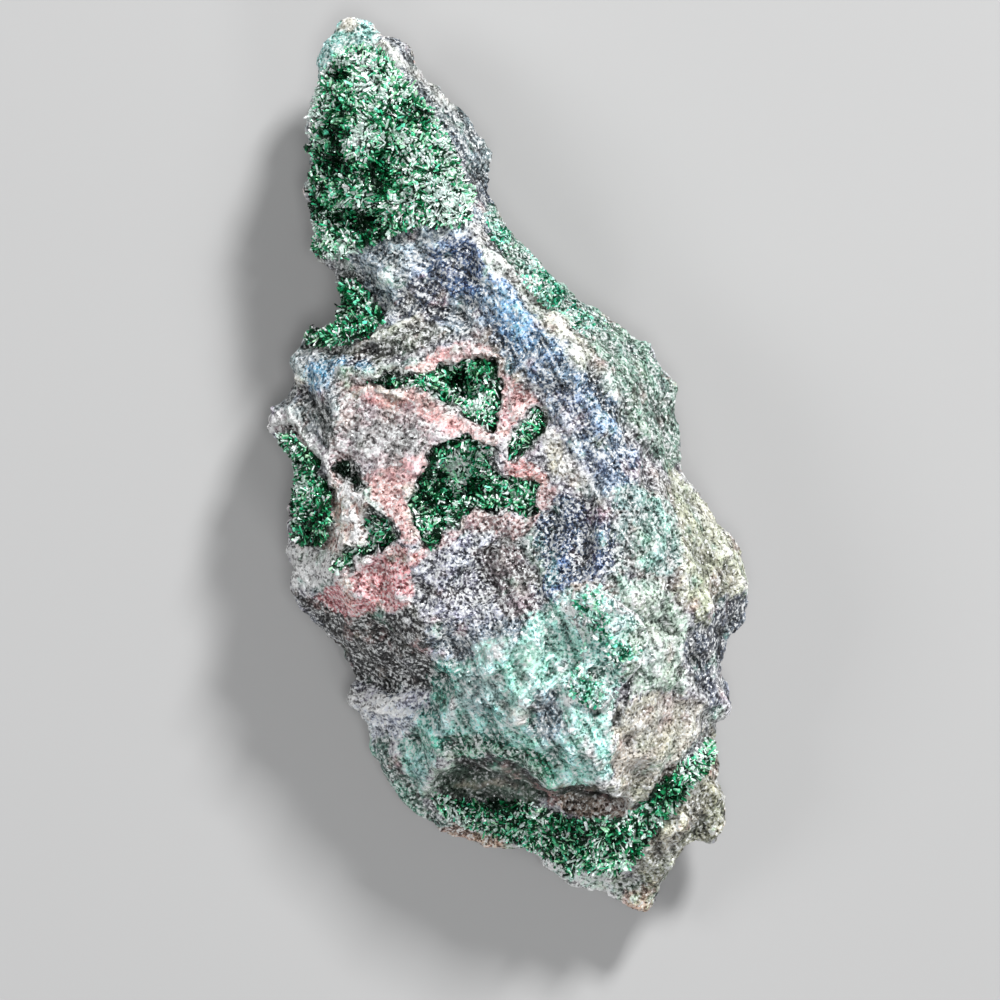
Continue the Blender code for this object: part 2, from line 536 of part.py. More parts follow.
def bowl(tree, plan, mouth, floor):
    """Lower and upper heights of a crust that lines a hollow and climbs its walls."""
    centre = sum((Vector(p) for p in mouth), Vector((0, 0))) / len(mouth)
    heights = []
    for point in plan:
        outer, _ = surface_under(tree, centre + (point - centre) * BRIM_SAMPLE)
        climb = math.exp(-((edge_distance(point, mouth) / WALL_REACH) ** 2))
        brim = max(outer.z - BRIM_DROP, floor + LEAST_WALL)
        low = floor + CLEARANCE + CRUST_THICKNESS
        heights.append((floor - BOWL_DEPTH, low + climb * max(brim - low, LEAST_CLIMB)))
    return heights


def crust_bed(tree, name, rng):
    """The crust's slab, with a flat-faced crystal point on each of its upper triangles."""
    footprint, spacing, reach, _ = DRUSES[name]
    plan = [Vector(p) for p in footprint] + scattered(footprint, spacing, rng)
    hollow = name.replace("_druse", "")
    if hollow in HOLLOWS:
        heights = bowl(tree, plan, footprint, HOLLOWS[hollow][1])
    else:
        heights = draped(tree, plan)
    bm = bmesh.new()
    rims = []
    for side in (0, 1):
        verts = [bm.verts.new((*p, pair[side])) for p, pair in zip(plan, heights)]
        upper = skin(bm, verts, plan, len(footprint))
        ring = verts[: len(footprint)]
        rims += [bm.edges.get(pair) for pair in zip(ring, ring[1:] + ring[:1])]
    bmesh.ops.bridge_loops(bm, edges=rims)
    bmesh.ops.recalc_face_normals(bm, faces=bm.faces)
    roots = []
    for face in upper:
        centre, up = face.calc_center_median(), face.normal.copy()
        roots.append((centre, up))
        tip = bmesh.ops.poke(bm, faces=[face])["verts"][0]
        tip.co.xy += up.xy * TIP_LEAN * spacing
        tip.co.z += reach * rng.uniform(LEAST_TIP, 1.0) / max(up.z, STEEPEST)
    return bm, roots


def long_crystal(root, direction, length, width, rng, collection):
    """A four-sided prism with a chisel point, standing on its root."""
    bm = bmesh.new()
    radius = 0.5 * width
    made = bmesh.ops.create_cone(
        bm,
        cap_ends=True,
        segments=4,
        radius1=radius / CRYSTAL_TAPER,
        radius2=radius,
        depth=length,
    )["verts"]
    upper = [v for v in made if v.co.z > 0]
    cap = next(f for f in upper[0].link_faces if all(v.co.z > 0 for v in f.verts))
    tip = bmesh.ops.poke(bm, faces=[cap])["verts"][0]
    tip.co.z += width * CRYSTAL_POINT
    turn = direction.to_track_quat("Z", "Y").to_matrix().to_4x4()
    spin = Matrix.Rotation(rng.uniform(0, math.pi), 4, "Z")
    flat = Matrix.Diagonal((1.0, CRYSTAL_FLATNESS, 1.0, 1.0))
    rise = 0.5 * length - CRYSTAL_ROOT * CRUST_THICKNESS
    stand = Matrix.Translation(root + direction * rise)
    bmesh.ops.transform(bm, matrix=stand @ turn @ spin @ flat, verts=made + [tip])
    return as_helper(new_object("crystal", bm, collection))


def druse(name, index, tree, clearance, collection, cutters):
    """One crust: a bed with crystal points, long crystals joined on, cut back off the matrix.

    The EXACT solver leaves open seams where crystals cross, so these joints use MANIFOLD.
    """
    _, _, reach, count = DRUSES[name]
    rng = random.Random(SEED + index)
    bm, roots = crust_bed(tree, name, rng)
    crust = new_object(name, bm, collection)
    shallow = [(root, up) for root, up in roots if up.z > LEAST_RISE]
    for root, up in rng.sample(shallow, min(count, len(shallow))):
        lean = [rng.uniform(-CRYSTAL_TILT, CRYSTAL_TILT) for _ in range(2)]
        tilt = Euler((*lean, 0))
        direction = up.copy()
        direction.rotate(tilt)
        length = reach * rng.uniform(0.9, 1.4) + CRUST_THICKNESS
        width = CRYSTAL_WIDTH * rng.uniform(0.8, 1.3)
        crystal = long_crystal(root, direction, length, width, rng, cutters)
        boolean(crust, crystal, "UNION", "MANIFOLD")
        apply_modifiers(crust)
        bpy.data.objects.remove(crystal, do_unlink=True)
    boolean(crust, clearance, "DIFFERENCE", "MANIFOLD")
    apply_modifiers(crust)
    return crust


def material(name, colour, roughness):
    made = bpy.data.materials.new(name)
    made.use_nodes = True
    shader = made.node_tree.nodes["Principled BSDF"]
    shader.inputs["Base Color"].default_value = colour
    shader.inputs["Roughness"].default_value = roughness
    return made


def centre_in_plan(objects):
    """Puts the origin under the middle of the whole specimen's length and width."""
    places = [v.co for obj in objects for v in obj.data.vertices]
    middle = [0.5 * (min(p[i] for p in places) + max(p[i] for p in places)) for i in (0, 1)]
    for obj in objects:
        obj.data.transform(Matrix.Translation((-middle[0], -middle[1], 0.0)))


def main():
    clear_scene()
    specimen = new_collection("brochantite_specimen", shown=True)
    cutters = new_collection("cutters", shown=False)
    matrix = rough_body(specimen)
    hollow_out(matrix, cutters)
    matrix.data.materials.append(material("matrix", MATRIX_COLOUR, 0.75))
    clearance = grown_copy(matrix, CLEARANCE, cutters)
    bm = bmesh.new()
    bm.from_mesh(matrix.data)
    tree = BVHTree.FromBMesh(bm)
    bm.free()
    green = material("brochantite", DRUSE_COLOUR, 0.25)
    for index, name in enumerate(DRUSES):
        crust = druse(name, index, tree, clearance, specimen, cutters)
        crust.data.materials.clear()
        crust.data.materials.append(green)
    centre_in_plan(specimen.objects)


main()
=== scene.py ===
"""The looks of a brochantite specimen: sparkling matrix in grey, blue, pink and pale green, and
crusts of small glassy green crystals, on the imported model's frame.

Plan positions are millimetres on the drawing that the solids were modelled from.
"""

import bmesh
import bpy
import numpy as np
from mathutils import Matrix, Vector
from mathutils.bvhtree import BVHTree


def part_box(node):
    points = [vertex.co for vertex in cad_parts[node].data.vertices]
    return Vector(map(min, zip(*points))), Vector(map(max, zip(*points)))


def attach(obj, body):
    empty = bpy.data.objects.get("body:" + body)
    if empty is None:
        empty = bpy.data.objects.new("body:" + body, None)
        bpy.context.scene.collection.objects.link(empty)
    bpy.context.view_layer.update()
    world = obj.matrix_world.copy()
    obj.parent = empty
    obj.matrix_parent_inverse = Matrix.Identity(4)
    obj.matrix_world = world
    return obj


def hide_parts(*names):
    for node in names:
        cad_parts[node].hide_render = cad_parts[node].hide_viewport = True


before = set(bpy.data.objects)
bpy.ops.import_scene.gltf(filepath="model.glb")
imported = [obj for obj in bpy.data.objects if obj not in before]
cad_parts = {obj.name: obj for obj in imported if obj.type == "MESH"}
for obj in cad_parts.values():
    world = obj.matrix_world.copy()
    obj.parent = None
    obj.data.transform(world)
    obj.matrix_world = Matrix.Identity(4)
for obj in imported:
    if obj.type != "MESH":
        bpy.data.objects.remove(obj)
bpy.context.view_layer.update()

MM = 0.001
DRAWING_SHIFT = np.array((0.162, -0.319))  # the drawing's place in the row frame, mm
# Seen from above, high points look farther from the middle of the drawing than low ones.
DRAWING_MIDDLE = np.array((-0.69, -4.17))
EYE_HEIGHT = 900.0  # mm
TRUE_HEIGHT = 5.8  # points this high look as far apart as they are drawn
MATRIX_VOXEL = 0.40
CRUST_VOXEL = 0.30
BASE_HEIGHT = 0.25  # below this the matrix stays flat, mm


# Colours are given as they look, from 0 to 255, and are used as linear light.
def linear(rgb):
    c = np.asarray(rgb, float) / 255.0
    return np.where(c <= 0.04045, c / 12.92, ((c + 0.055) / 1.055) ** 2.4)


# Noise.

def cell_random(ix, iy, iz, seed):
    """A repeatable random number from 0 to 1 for each corner of a lattice."""
    h = (ix * 374761393 + iy * 668265263 + iz * 1103515245 + seed * 97531) & 0xFFFFFFFF
    h = ((h ^ (h >> 13)) * 1274126177) & 0xFFFFFFFF
    h = ((h ^ (h >> 16)) * 668265263) & 0xFFFFFFFF
    return (h & 0xFFFFFF) / float(0xFFFFFF)


def value_noise(points, size, seed):
    """Smooth noise from -1 to 1, with lumps about size across."""
    p = points / size
    i = np.floor(p).astype(np.int64)
    f = p - i
    f = f * f * (3 - 2 * f)
    total = np.zeros(len(p))
    for corner in np.ndindex(2, 2, 2):
        x, y, z = np.where(corner, f, 1 - f).T
        total += x * y * z * cell_random(*(i + corner).T, seed)
    return 2 * total - 1


def crests(points, size, seed):
    return 1 - 2 * np.abs(value_noise(points, size, seed))


def layered(noise, points, size, octaves, seed, step, fade):
    """Ever finer layers of a noise, each this much weaker than the last."""
    total = np.zeros(len(points))
    reach, strength = 0.0, 1.0
    for k in range(octaves):
        total += strength * noise(points, size / 2**k, seed + step * k)
        reach += strength
        strength *= fade
    return total / reach


def fractal(points, size, octaves, seed):
    return layered(value_noise, points, size, octaves, seed, 17, 0.55)


def ridged(points, size, octaves, seed):
    """Noise from -1 to 1 with sharp crests."""
    return layered(crests, points, size, octaves, seed, 31, 0.5)


def noises(points, size, octaves, seed, step=1, count=3):
    """Unlike noises side by side, such as one for each axis."""
    return np.stack([fractal(points, size, octaves, seed + step * k) for k in range(count)], 1)


def streaks(points, angle, across, along, seed):
    """Noise drawn out along a direction in plan, given in degrees from +X."""
    a = np.radians(angle)
    u = points[:, 0] * np.cos(a) + points[:, 1] * np.sin(a)
    v = -points[:, 0] * np.sin(a) + points[:, 1] * np.cos(a)
    bent = np.stack([u / along, v / across, points[:, 2] / along], 1)
    return 0.6 * value_noise(bent, 1.0, seed) + 0.4 * value_noise(bent, 0.45, seed + 5)


def smooth_step(low, high, x):
    t = np.clip((x - low) / (high - low), 0, 1)
    return t * t * (3 - 2 * t)


def line_distance(plan, line):
    """How far each plan position is from a line of straight runs."""
    x, y = plan.T
    best = np.full(len(plan), np.inf)
    for (ax, ay), (bx, by) in zip(line, line[1:]):
        ex, ey = bx - ax, by - ay
        t = np.clip(((x - ax) * ex + (y - ay) * ey) / (ex * ex + ey * ey), 0, 1)
        best = np.minimum(best, np.hypot(x - ax - t * ex, y - ay - t * ey))
    return best


def inside_by(plan, outline):
    """How far each plan position lies inside an outline, negative outside it."""
    x, y = plan.T
    odd = np.zeros(len(plan), bool)
    closed = [*outline, outline[0]]
    for (ax, ay), (bx, by) in zip(closed, closed[1:]):
        if ay != by:
            odd ^= ((ay > y) != (by > y)) & (x < (bx - ax) * (y - ay) / (by - ay) + ax)
    return line_distance(plan, closed) * np.where(odd, 1, -1)


# Meshes.

def read(items, name, width, kind=np.float32):
    """One property of a mesh's parts as an array, a row for each."""
    values = np.zeros(len(items) * width, kind)
    items.foreach_get(name, values)
    return values.reshape(-1, width)


def arrays(mesh):
    """Places in mm and normals of a mesh's vertices."""
    points = read(mesh.vertices, "co", 3).astype(float) / MM
    return points, read(mesh.vertices, "normal", 3).astype(float)


def place(mesh, points):
    mesh.vertices.foreach_set("co", (points * MM).astype(np.float32).ravel())
    mesh.update()


def eased(mesh, values, passes):
    """Values at the vertices, each averaged with its neighbours' a number of times."""
    a, b = read(mesh.edges, "vertices", 2, np.int32).T
    n = len(mesh.vertices)
    count = np.bincount(a, minlength=n) + np.bincount(b, minlength=n)
    values = values.copy()
    for _ in range(passes):
        for c in range(values.shape[1]):
            column = values[:, c]
            total = np.bincount(a, column[b], n) + np.bincount(b, column[a], n)
            values[:, c] = 0.5 * column + 0.5 * total / np.maximum(count, 1)
    return values


def new_object(name, data):
    obj = bpy.data.objects.new(name, data)
    bpy.context.scene.collection.objects.link(obj)
    return obj


def remeshed(node, name, voxel):
    """A finer, evenly spaced copy of a CAD node's surface."""
    bm = bmesh.new()
    bm.from_mesh(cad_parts[node].data)
    bmesh.ops.remove_doubles(bm, verts=bm.verts, dist=1e-7)
    mesh = bpy.data.meshes.new(name)
    bm.to_mesh(mesh)
    bm.free()
    obj = new_object(name, mesh)
    fine = obj.modifiers.new("fine", "REMESH")
    fine.mode = "VOXEL"
    fine.voxel_size = voxel * MM
    graph = bpy.context.evaluated_depsgraph_get()
    made = bpy.data.meshes.new_from_object(obj.evaluated_get(graph))
    obj.modifiers.clear()
    obj.data = made
    return obj


def paint(mesh, name, colours):
    layer = mesh.color_attributes.new(name, "FLOAT_COLOR", "POINT")
    rgba = np.ones((len(mesh.vertices), 4), np.float32)
    rgba[:, :3] = colours
    layer.data.foreach_set("color", rgba.ravel())


def keep_value(mesh, name, values):
    layer = mesh.attributes.new(name, "FLOAT", "POINT")
    layer.data.foreach_set("value", values.astype(np.float32))


# Colour zones of the matrix: colour, softness in mm, strength, speckle, outline.

ZONES = {
    "neck_flank": ((62, 74, 88), 0.8, 1.0, 1.1, ((-15, 48.5), (-12, 48.8), (-8.5, 44.5), (-2, 40.5),
        (-0.6, 34), (-0.6, 29), (-4, 29), (-5, 33), (-6, 36), (-9, 39.5), (-12, 44))),
    "neck_flank_shade": ((104, 116, 124), 1.0, 0.8, 0.95, ((-8.6, 42.5), (-5, 41.5), (-3, 38.5),
        (-5.5, 37), (-9, 40))),
    "neck_tip": ((130, 184, 176), 0.7, 0.95, 0.9, ((-22, 42), (-21.8, 47), (-19.6, 50.4), (-17.8, 51.6),
        (-15, 50.2), (-13.8, 47.8), (-16, 46), (-19, 45), (-20, 42))),
    "neck_edge": ((104, 116, 122), 0.5, 0.85, 1.0, ((-12, 48.3), (-8.7, 44.8), (-5.9, 41.8), (-2.1, 38.4),
        (-1.1, 34.6), (-1.8, 29.8), (-3.8, 32.6), (-5.2, 37), (-8.2, 40.1), (-11, 44.9))),
    "tip_pink": ((170, 128, 118), 0.4, 0.6, 0.4, ((-18.8, 49.6), (-17.8, 51.4), (-16.4, 50.4),
        (-17.2, 49.2))),
    "saddle": ((134, 148, 160), 0.8, 1.0, 1.1, ((-18, 24), (-10, 27), (-3.5, 28.6), (0, 26), (1, 20),
        (-3, 15), (-10, 14.5), (-16, 15.5))),
    "saddle_navy": ((60, 86, 122), 1.2, 0.95, 1.15, ((-7.6, 25.5), (-3, 26), (-1.2, 22), (-2.5, 18.6),
        (-6.5, 19), (-8.6, 22.5))),
    "saddle_slate": ((32, 42, 68), 1.2, 0.85, 1.1, ((-13, 20.5), (-8, 21), (-5.5, 18), (-8.5, 15.6),
        (-12.5, 17))),
    "ridge": ((104, 128, 152), 1.0, 1.0, 1.15, ((-2.4, 23.5), (1, 20), (5, 15.5), (8.5, 11.5), (12.5, 7),
        (14.5, 2), (14.5, -2.6), (10.5, -4), (8, 0), (5.5, 5), (3.5, 9), (0.4, 11.5), (-1.6, 14),
        (-3.2, 18))),
    "ridge_blue": ((116, 156, 194), 1.0, 0.8, 1.1, ((-1, 19.5), (2.4, 17.5), (4.6, 13.5), (2.6, 11.8),
        (-0.6, 13.8))),
    "ridge_shade": ((104, 116, 136), 1.2, 0.7, 1.1, ((6, 9), (10.5, 5.5), (13, 1.5), (12.6, -3),
        (9.6, -4.4), (7, -1))),
    "right_band": ((88, 138, 120), 0.9, 0.95, 1.1, ((-1.6, 30), (2.4, 25.6), (6, 21), (11.5, 17.6),
        (13.6, 13.8), (10.4, 12.6), (6.4, 16), (2.4, 20.4), (-0.4, 24.4), (-3, 28))),
    # Paler as a painted highlight on the crest's lit side
    "ridge_crest": ((186, 194, 180), 0.6, 0.75, 0.9, ((-3.4, 25.6), (-1, 23.2), (3.4, 19.4), (7.6, 14.4),
        (9.6, 11.6), (8.4, 11.4), (5.4, 14.6), (1.6, 18.8), (-2.6, 22.4))),
    "upper_flank": ((114, 144, 130), 1.0, 1.0, 1.0, ((9, 13.5), (12.4, 16.4), (16.4, 13.6), (20, 7),
        (20.6, 0), (18, -1.5), (15.4, 4.4), (12.4, 8.6))),
    "mint_streaks": ((138, 174, 168), 1.4, 0.9, 1.0, ((12.4, -2.6), (16, -3.4), (19.5, -6), (20.5, -10),
        (18.6, -13.6), (15, -12.4), (12.6, -9))),
    "cream_flank": ((174, 178, 158), 1.4, 1.0, 0.8, ((19, -0.5), (24.6, -6), (28, -13), (27, -18),
        (22, -19.6), (19.4, -14), (20.4, -9), (18.4, -3.4))),
    "flank_green": ((180, 200, 186), 1.4, 0.95, 0.85, ((12, -12.5), (18, -13.4), (21, -19), (20, -26),
        (14, -26.4), (12.4, -20))),
    "edge_purple": ((76, 84, 100), 1.0, 0.95, 1.0, ((24.2, -15.4), (28, -15), (27, -20), (26.6, -28),
        (23.4, -29.4), (20.6, -25.4), (20.4, -20.4), (23, -18.4))),
    "shoulder": ((198, 182, 184), 1.0, 1.0, 0.95, ((-20, 9.4), (-14, 9.6), (-9, 8), (-5, 5), (-3, 3.6),
        (-8, 1), (-12, -4), (-16, -0.5), (-19.6, 0.4), (-20.4, 4))),
    "pink_left": ((255, 218, 210), 0.6, 1.0, 0.7, ((-20.8, 0.4), (-18.6, -1.2), (-16.6, -3), (-15.8, -5),
        (-17.3, -7.6), (-18.8, -10), (-21.5, -9.6), (-20.4, -4))),
    # Lightened as painted light, where this side faces away from the light
    "pale_left": ((252, 250, 250), 0.8, 1.0, 0.8, ((-24.8, -9), (-21.4, -9), (-18.6, -11.6), (-19.8, -13),
        (-24.6, -14.6))),
    "pink_upper": ((200, 150, 148), 0.5, 1.0, 0.7, ((-11.4, 11), (-8, 12.9), (-5, 14), (-2.2, 13.4),
        (-0.4, 11), (1.6, 9.2), (3, 7.2), (1.2, 5.4), (0.4, 2.8), (-1.4, 3.4), (-3.8, 4.2), (-6, 5),
        (-7.6, 6.8), (-10, 8.2), (-14, 9), (-17, 8.6), (-17.6, 7), (-13, 6.2), (-9, 5.4), (-6.4, 3.4),
        (-4.4, 2.9), (-1.2, 1.6), (-0.9, 9), (-1.6, 11.2), (-4, 12), (-5.8, 12), (-7.6, 10.8),
        (-9.4, 10.2))),
    "pink_middle": ((194, 154, 152), 0.6, 0.95, 0.65, ((-16.4, -1), (-12.4, 0.4), (-9.4, 1.4), (-8.4, 0.4),
        (-10.2, -2.4), (-11.2, -5), (-9.8, -7), (-10.4, -9.4), (-12, -9.4), (-13, -7), (-15, -4.5))),
    "pink_lens": ((188, 136, 134), 0.5, 1.0, 0.75, ((-1, 1.2), (2, 1.2), (4.2, -0.2), (5, -2.4), (4, -2.4),
        (-0.4, -1.5))),
    "pink_under": ((158, 128, 128), 0.6, 0.85, 0.8, ((-4, -5.3), (-1, -5), (2.6, -6), (3.8, -4.6),
        (4.2, -2.6), (5.6, -3.4), (3.9, -7), (1, -8.4), (-1.4, -7.2), (-4, -7.4), (-7, -10.2),
        (-7.8, -9.4))),
    "pink_facet": ((230, 158, 162), 0.6, 1.0, 0.8, ((-22, -14.8), (-18.5, -12.9), (-16.2, -11.6),
        (-14, -9.8), (-8, -9.7), (-10.8, -12), (-11, -15.2), (-13, -17), (-17, -17.9), (-20, -16.8))),
    "grey_blotch": ((138, 136, 136), 1.2, 0.9, 1.0, ((-17.4, 4), (-12.6, 5.2), (-9, 3.6), (-9.6, 1.4),
        (-13.4, 0.8), (-17.6, 2.2))),
    "knob": ((120, 130, 134), 0.9, 1.0, 1.0, ((-25, 13.6), (-22.6, 15.2), (-20, 14), (-18.8, 8.6),
        (-19, 3.4), (-21, 0.6), (-23.2, 2.6), (-27.6, 3.4), (-26.6, 8))),
    "knob_shade": ((84, 88, 84), 1.0, 0.75, 1.0, ((-24.4, 7.4), (-21.6, 8), (-19.6, 5), (-18.8, 2),
        (-20.2, 1.6), (-21.6, 4.6))),
    "knob_edge": ((250, 240, 248), 0.5, 0.85, 0.7, ((-27.6, 3), (-24.6, 4.2), (-22.2, 1.8), (-20.4, -0.4),
        (-19.4, 0.6), (-21.2, 3), (-24, 5.4), (-27, 6))),
    "blue_patch": ((90, 144, 176), 0.6, 0.95, 1.2, ((-22.8, 11.9), (-20, 12.3), (-15, 12), (-15.4, 10.8),
        (-19, 10.6), (-20, 8.6), (-22.8, 8.8))),
    "olive_band": ((108, 114, 104), 0.7, 0.95, 1.0, ((-22, 13.8), (-17, 13.6), (-13.5, 16), (-9, 17),
        (-6.4, 15.2), (-10, 12.9), (-14, 12.1), (-19, 12.6))),
    # Darker partly as painted shade: this facet faces away from the light
    "dark_facet": ((64, 65, 66), 0.7, 1.0, 1.1, ((-24.4, -14.8), (-21.6, -15), (-18, -17.4), (-13, -17.2),
        (-11, -15.4), (-8, -19), (-5.8, -23), (-8, -25.9), (-13, -26.3), (-17.6, -24.9), (-20, -22))),
    "lilac_facet": ((206, 210, 222), 0.6, 1.0, 1.25, ((-18.6, -24.2), (-13, -26.2), (-8, -26),
        (-9.4, -29.6), (-12.4, -32), (-15.6, -32.4), (-18, -28.6))),
    "centre": ((142, 144, 158), 1.0, 1.0, 1.1, ((-8, -9.8), (-4, -7.4), (-1, -8.6), (3, -12), (5.6, -17),
        (0, -19.4), (-8, -19), (-11, -16), (-10.8, -12))),
    "centre_brown": ((110, 98, 100), 1.2, 0.9, 1.0, ((-4.2, -10), (0, -8.6), (2.8, -12.4), (5, -17.4),
        (0.6, -18.4), (-2.4, -14))),
    "centre_navy": ((60, 82, 114), 1.2, 0.95, 1.1, ((3.4, -6.4), (6, -4), (9.6, -4.4), (12, -6),
        (12.6, -10), (10.4, -13), (6, -14), (3.6, -12))),
    "blue_spot": ((82, 108, 146), 0.7, 0.95, 1.2, ((5.6, -10.8), (8.2, -11), (7.6, -14), (5.4, -16.4),
        (4.4, -14.4))),
    "pale_corner": ((244, 238, 224), 0.7, 0.9, 0.8, ((4.2, 5.4), (6.2, 3), (9, -2.2), (7.4, -3), (5, 0.2),
        (4, 2.6))),
    "lobes": ((150, 208, 196), 1.2, 1.0, 0.85, ((-8, -19.2), (0, -18.6), (6, -15.6), (12, -15), (14, -22),
        (12.6, -28), (12.4, -36), (6, -37.2), (0, -33.4), (-8, -32.6), (-9.6, -38), (-12, -35),
        (-12, -31.6), (-9.4, -28), (-7.4, -23.6))),
    "lilac_step": ((126, 138, 152), 0.8, 0.95, 1.1, ((-9.2, -18.8), (-4.1, -17.6), (1.6, -17.4),
        (2.3, -19), (-0.4, -20.6), (-2.6, -21.4), (-4.6, -22.6), (-6.8, -23.4), (-8.6, -21.9))),
    "lobe_grey": ((160, 190, 188), 1.0, 0.9, 0.85, ((-6, -23.4), (-2.6, -23), (-0.8, -24.6), (-1, -27.4),
        (-3.6, -28.6), (-6.6, -27))),
    "mint_crown": ((180, 226, 214), 0.8, 0.95, 0.6, ((-3.6, -20), (-0.4, -19.4), (0.8, -21.2),
        (-0.6, -23.2), (-3.4, -22.8))),
    "mint_lobe": ((132, 170, 162), 0.8, 0.95, 0.6, ((1, -20.6), (4.8, -20.4), (4, -25), (2.6, -29),
        (0.6, -30), (0.2, -26))),
    "emerald_left": ((66, 146, 132), 1.1, 0.8, 0.95, ((-8.4, -22.4), (-5.4, -22.6), (-5, -26), (-8.4, -30),
        (-10.2, -29), (-8.4, -26))),
    "lobe_purple": ((110, 124, 142), 0.8, 0.85, 0.95, ((3.4, -26), (5.6, -26), (6.8, -30), (4.8, -32),
        (2.4, -30.6))),
    "emerald_lobe": ((194, 250, 234), 1.0, 0.85, 0.95, ((6, -22.6), (11.6, -22.4), (12.4, -27),
        (9.4, -29.4), (6.8, -27))),
    "emerald_crown": ((206, 250, 240), 1.0, 0.9, 0.95, ((6.4, -14.4), (9.4, -13.4), (13, -15), (16, -17.8),
        (14.4, -20.6), (10, -20), (6.6, -18))),
    "emerald_lip": ((14, 122, 98), 0.7, 0.9, 1.0, ((-9.4, -30.8), (-5, -30.8), (0, -31), (4, -33),
        (6.4, -36.6), (3.6, -35.8), (0, -33.6), (-4, -32.9), (-8, -33.6))),
    "lip_shade": ((10, 124, 92), 0.4, 0.85, 1.15, ((-6.6, -30.4), (-4.4, -30.6), (-1.6, -31.6),
        (1.6, -32.1), (3.8, -33.4), (5.2, -35.4), (4.2, -35.8), (2.4, -34), (0, -33), (-2.6, -32.4),
        (-5.2, -32.8), (-6.8, -32))),
    "hollow_wall": ((76, 92, 82), 0.6, 1.0, 0.55, ((-9, -35), (-4, -33.3), (0, -33.9), (3.2, -35.8),
        (5.6, -38.2), (2, -39.4), (-3, -38.6), (-7, -37.6))),
    # Painted shadow under the right end of the lip
    "hollow_right_shadow": ((58, 60, 48), 0.6, 1.0, 0.4, ((6.4, -37), (9, -36.4), (12.2, -37.8),
        (13.4, -39.4), (8, -40))),
    "hollow_left": ((150, 170, 158), 0.4, 0.9, 0.6, ((-9.6, -37.6), (-8.6, -35.2), (-6.4, -34.2),
        (-5.8, -35), (-7.2, -36.6), (-8.4, -38.4))),
    # Painted sheen: pale streaks across the hollow's wall
    "hollow_sheen": ((142, 140, 128), 0.35, 0.8, 0.4, ((-6.2, -36.4), (-4.4, -35.9), (-0.6, -36.1),
        (2, -37), (0.2, -36.9), (-3.6, -36.8))),
    "hollow_ledge": ((176, 158, 144), 0.4, 0.95, 0.8, ((5.6, -38.2), (7.4, -37.7), (10.6, -38.3),
        (14.2, -39.5), (13.2, -41.2), (9, -41.2), (7, -39.8))),
    "hollow_shade": ((14, 20, 16), 0.3, 1.0, 0.35, ((-6.4, -34.4), (-4.4, -33.2), (-2, -32.8),
        (0.8, -33.6), (2.4, -35.2), (4.6, -36.6), (6.4, -36.2), (8.8, -35.8), (12.4, -37), (12.2, -38),
        (9.8, -37.5), (8, -37.5), (6.2, -38.2), (3.2, -37), (1, -35.2), (-2, -34.4), (-4.8, -34.8))),
    "pink_nub": ((112, 84, 80), 0.3, 0.9, 0.5, ((4.4, -37.2), (5.4, -36.8), (6.4, -37.6), (6.4, -38.8),
        (5.2, -39.2), (4.6, -38.2))),
    "smooth_facet": ((202, 196, 184), 0.8, 1.0, 0.6, ((12.2, -29), (14.5, -27), (18, -25.4), (22.6, -27.5),
        (22.4, -31), (19.4, -34.2), (16.2, -36.2), (15.5, -39.4), (12.6, -38.6), (12, -34))),
    "lower_flank": ((142, 142, 126), 0.8, 1.0, 0.95, ((23.4, -30), (27, -34), (26.6, -41), (21, -44.6),
        (17.6, -49), (14.6, -47), (16.5, -42), (20, -37.5), (23.2, -33.4))),
    "bottom_rim": ((150, 164, 148), 0.7, 0.95, 0.8, ((-13, -38), (-6, -43.5), (2, -47), (8, -50.5),
        (15.6, -52.4), (17, -49), (13, -46.6), (7.5, -46.6), (3, -44.6), (-2, -42.3), (-7, -40.3))),
    "rim_brown": ((160, 138, 124), 0.4, 1.0, 0.9, ((-8.6, -39.8), (-6.4, -40.5), (-2.6, -42.1),
        (-0.4, -42.4), (-0.2, -44.4), (-2.8, -45), (-6.8, -43), (-9.4, -40.8))),
    # Lightened as painted light, as this rim faces away from the light
    "rim_mint": ((216, 242, 228), 0.5, 1.0, 0.75, ((2, -44), (6.8, -45.8), (11.2, -46.8), (12.8, -49.4),
        (12, -51), (6, -49.6), (2.4, -47))),
    "bottom_left_green": ((80, 118, 106), 0.8, 0.9, 0.9, ((-16, -31.6), (-13.4, -31), (-12.4, -34),
        (-9.6, -38.4), (-6, -41), (-9, -42.4), (-13, -38.6))),
    "tip": ((150, 126, 112), 0.7, 1.0, 0.6, ((13.6, -49), (17, -47.4), (17.6, -51.6), (13.4, -52.4))),
}

# Folds and striations: direction in degrees, width and length in mm, height in mm; their lightness follows
# the height as painted light and shade
FOLDS = {
    "dark_facet": (-28, 0.9, 7.0, 0.42),
    "lilac_facet": (4, 0.8, 6.0, 0.22),
    "olive_band": (24, 0.9, 6.0, 0.36),
    "saddle": (-38, 1.0, 4.0, 0.30),
    "shoulder": (-30, 0.9, 5.0, 0.22),
    "ridge": (-52, 1.0, 6.0, 0.42),
    "ridge_crest": (-50, 1.0, 6.0, 0.35),
    "right_band": (-42, 1.0, 4.0, 0.38),
    "upper_flank": (-58, 1.1, 6.0, 0.40),
    "mint_streaks": (-60, 1.1, 7.0, 0.45),
    "cream_flank": (-62, 1.0, 7.0, 0.42),
    "flank_green": (-70, 1.1, 7.0, 0.42),
    "edge_purple": (-80, 1.0, 5.0, 0.34),
    "neck_flank": (-48, 0.9, 5.0, 0.30),
    "hollow_wall": (-14, 1.0, 6.0, 0.20),
    "knob": (-64, 1.0, 5.0, 0.34),
    "lower_flank": (-70, 1.0, 5.0, 0.32),
    "centre_brown": (-62, 1.1, 6.0, 0.38),
    "lobes": (-64, 1.1, 4.0, 0.30),
}
# The grain of the rock runs in one of these directions, degrees
GRAIN_ANGLES = (-60, -28, 14)
GLINT = (0.94, 0.96, 0.96, 1.0)
LOOSE_GRAIN = 0.4
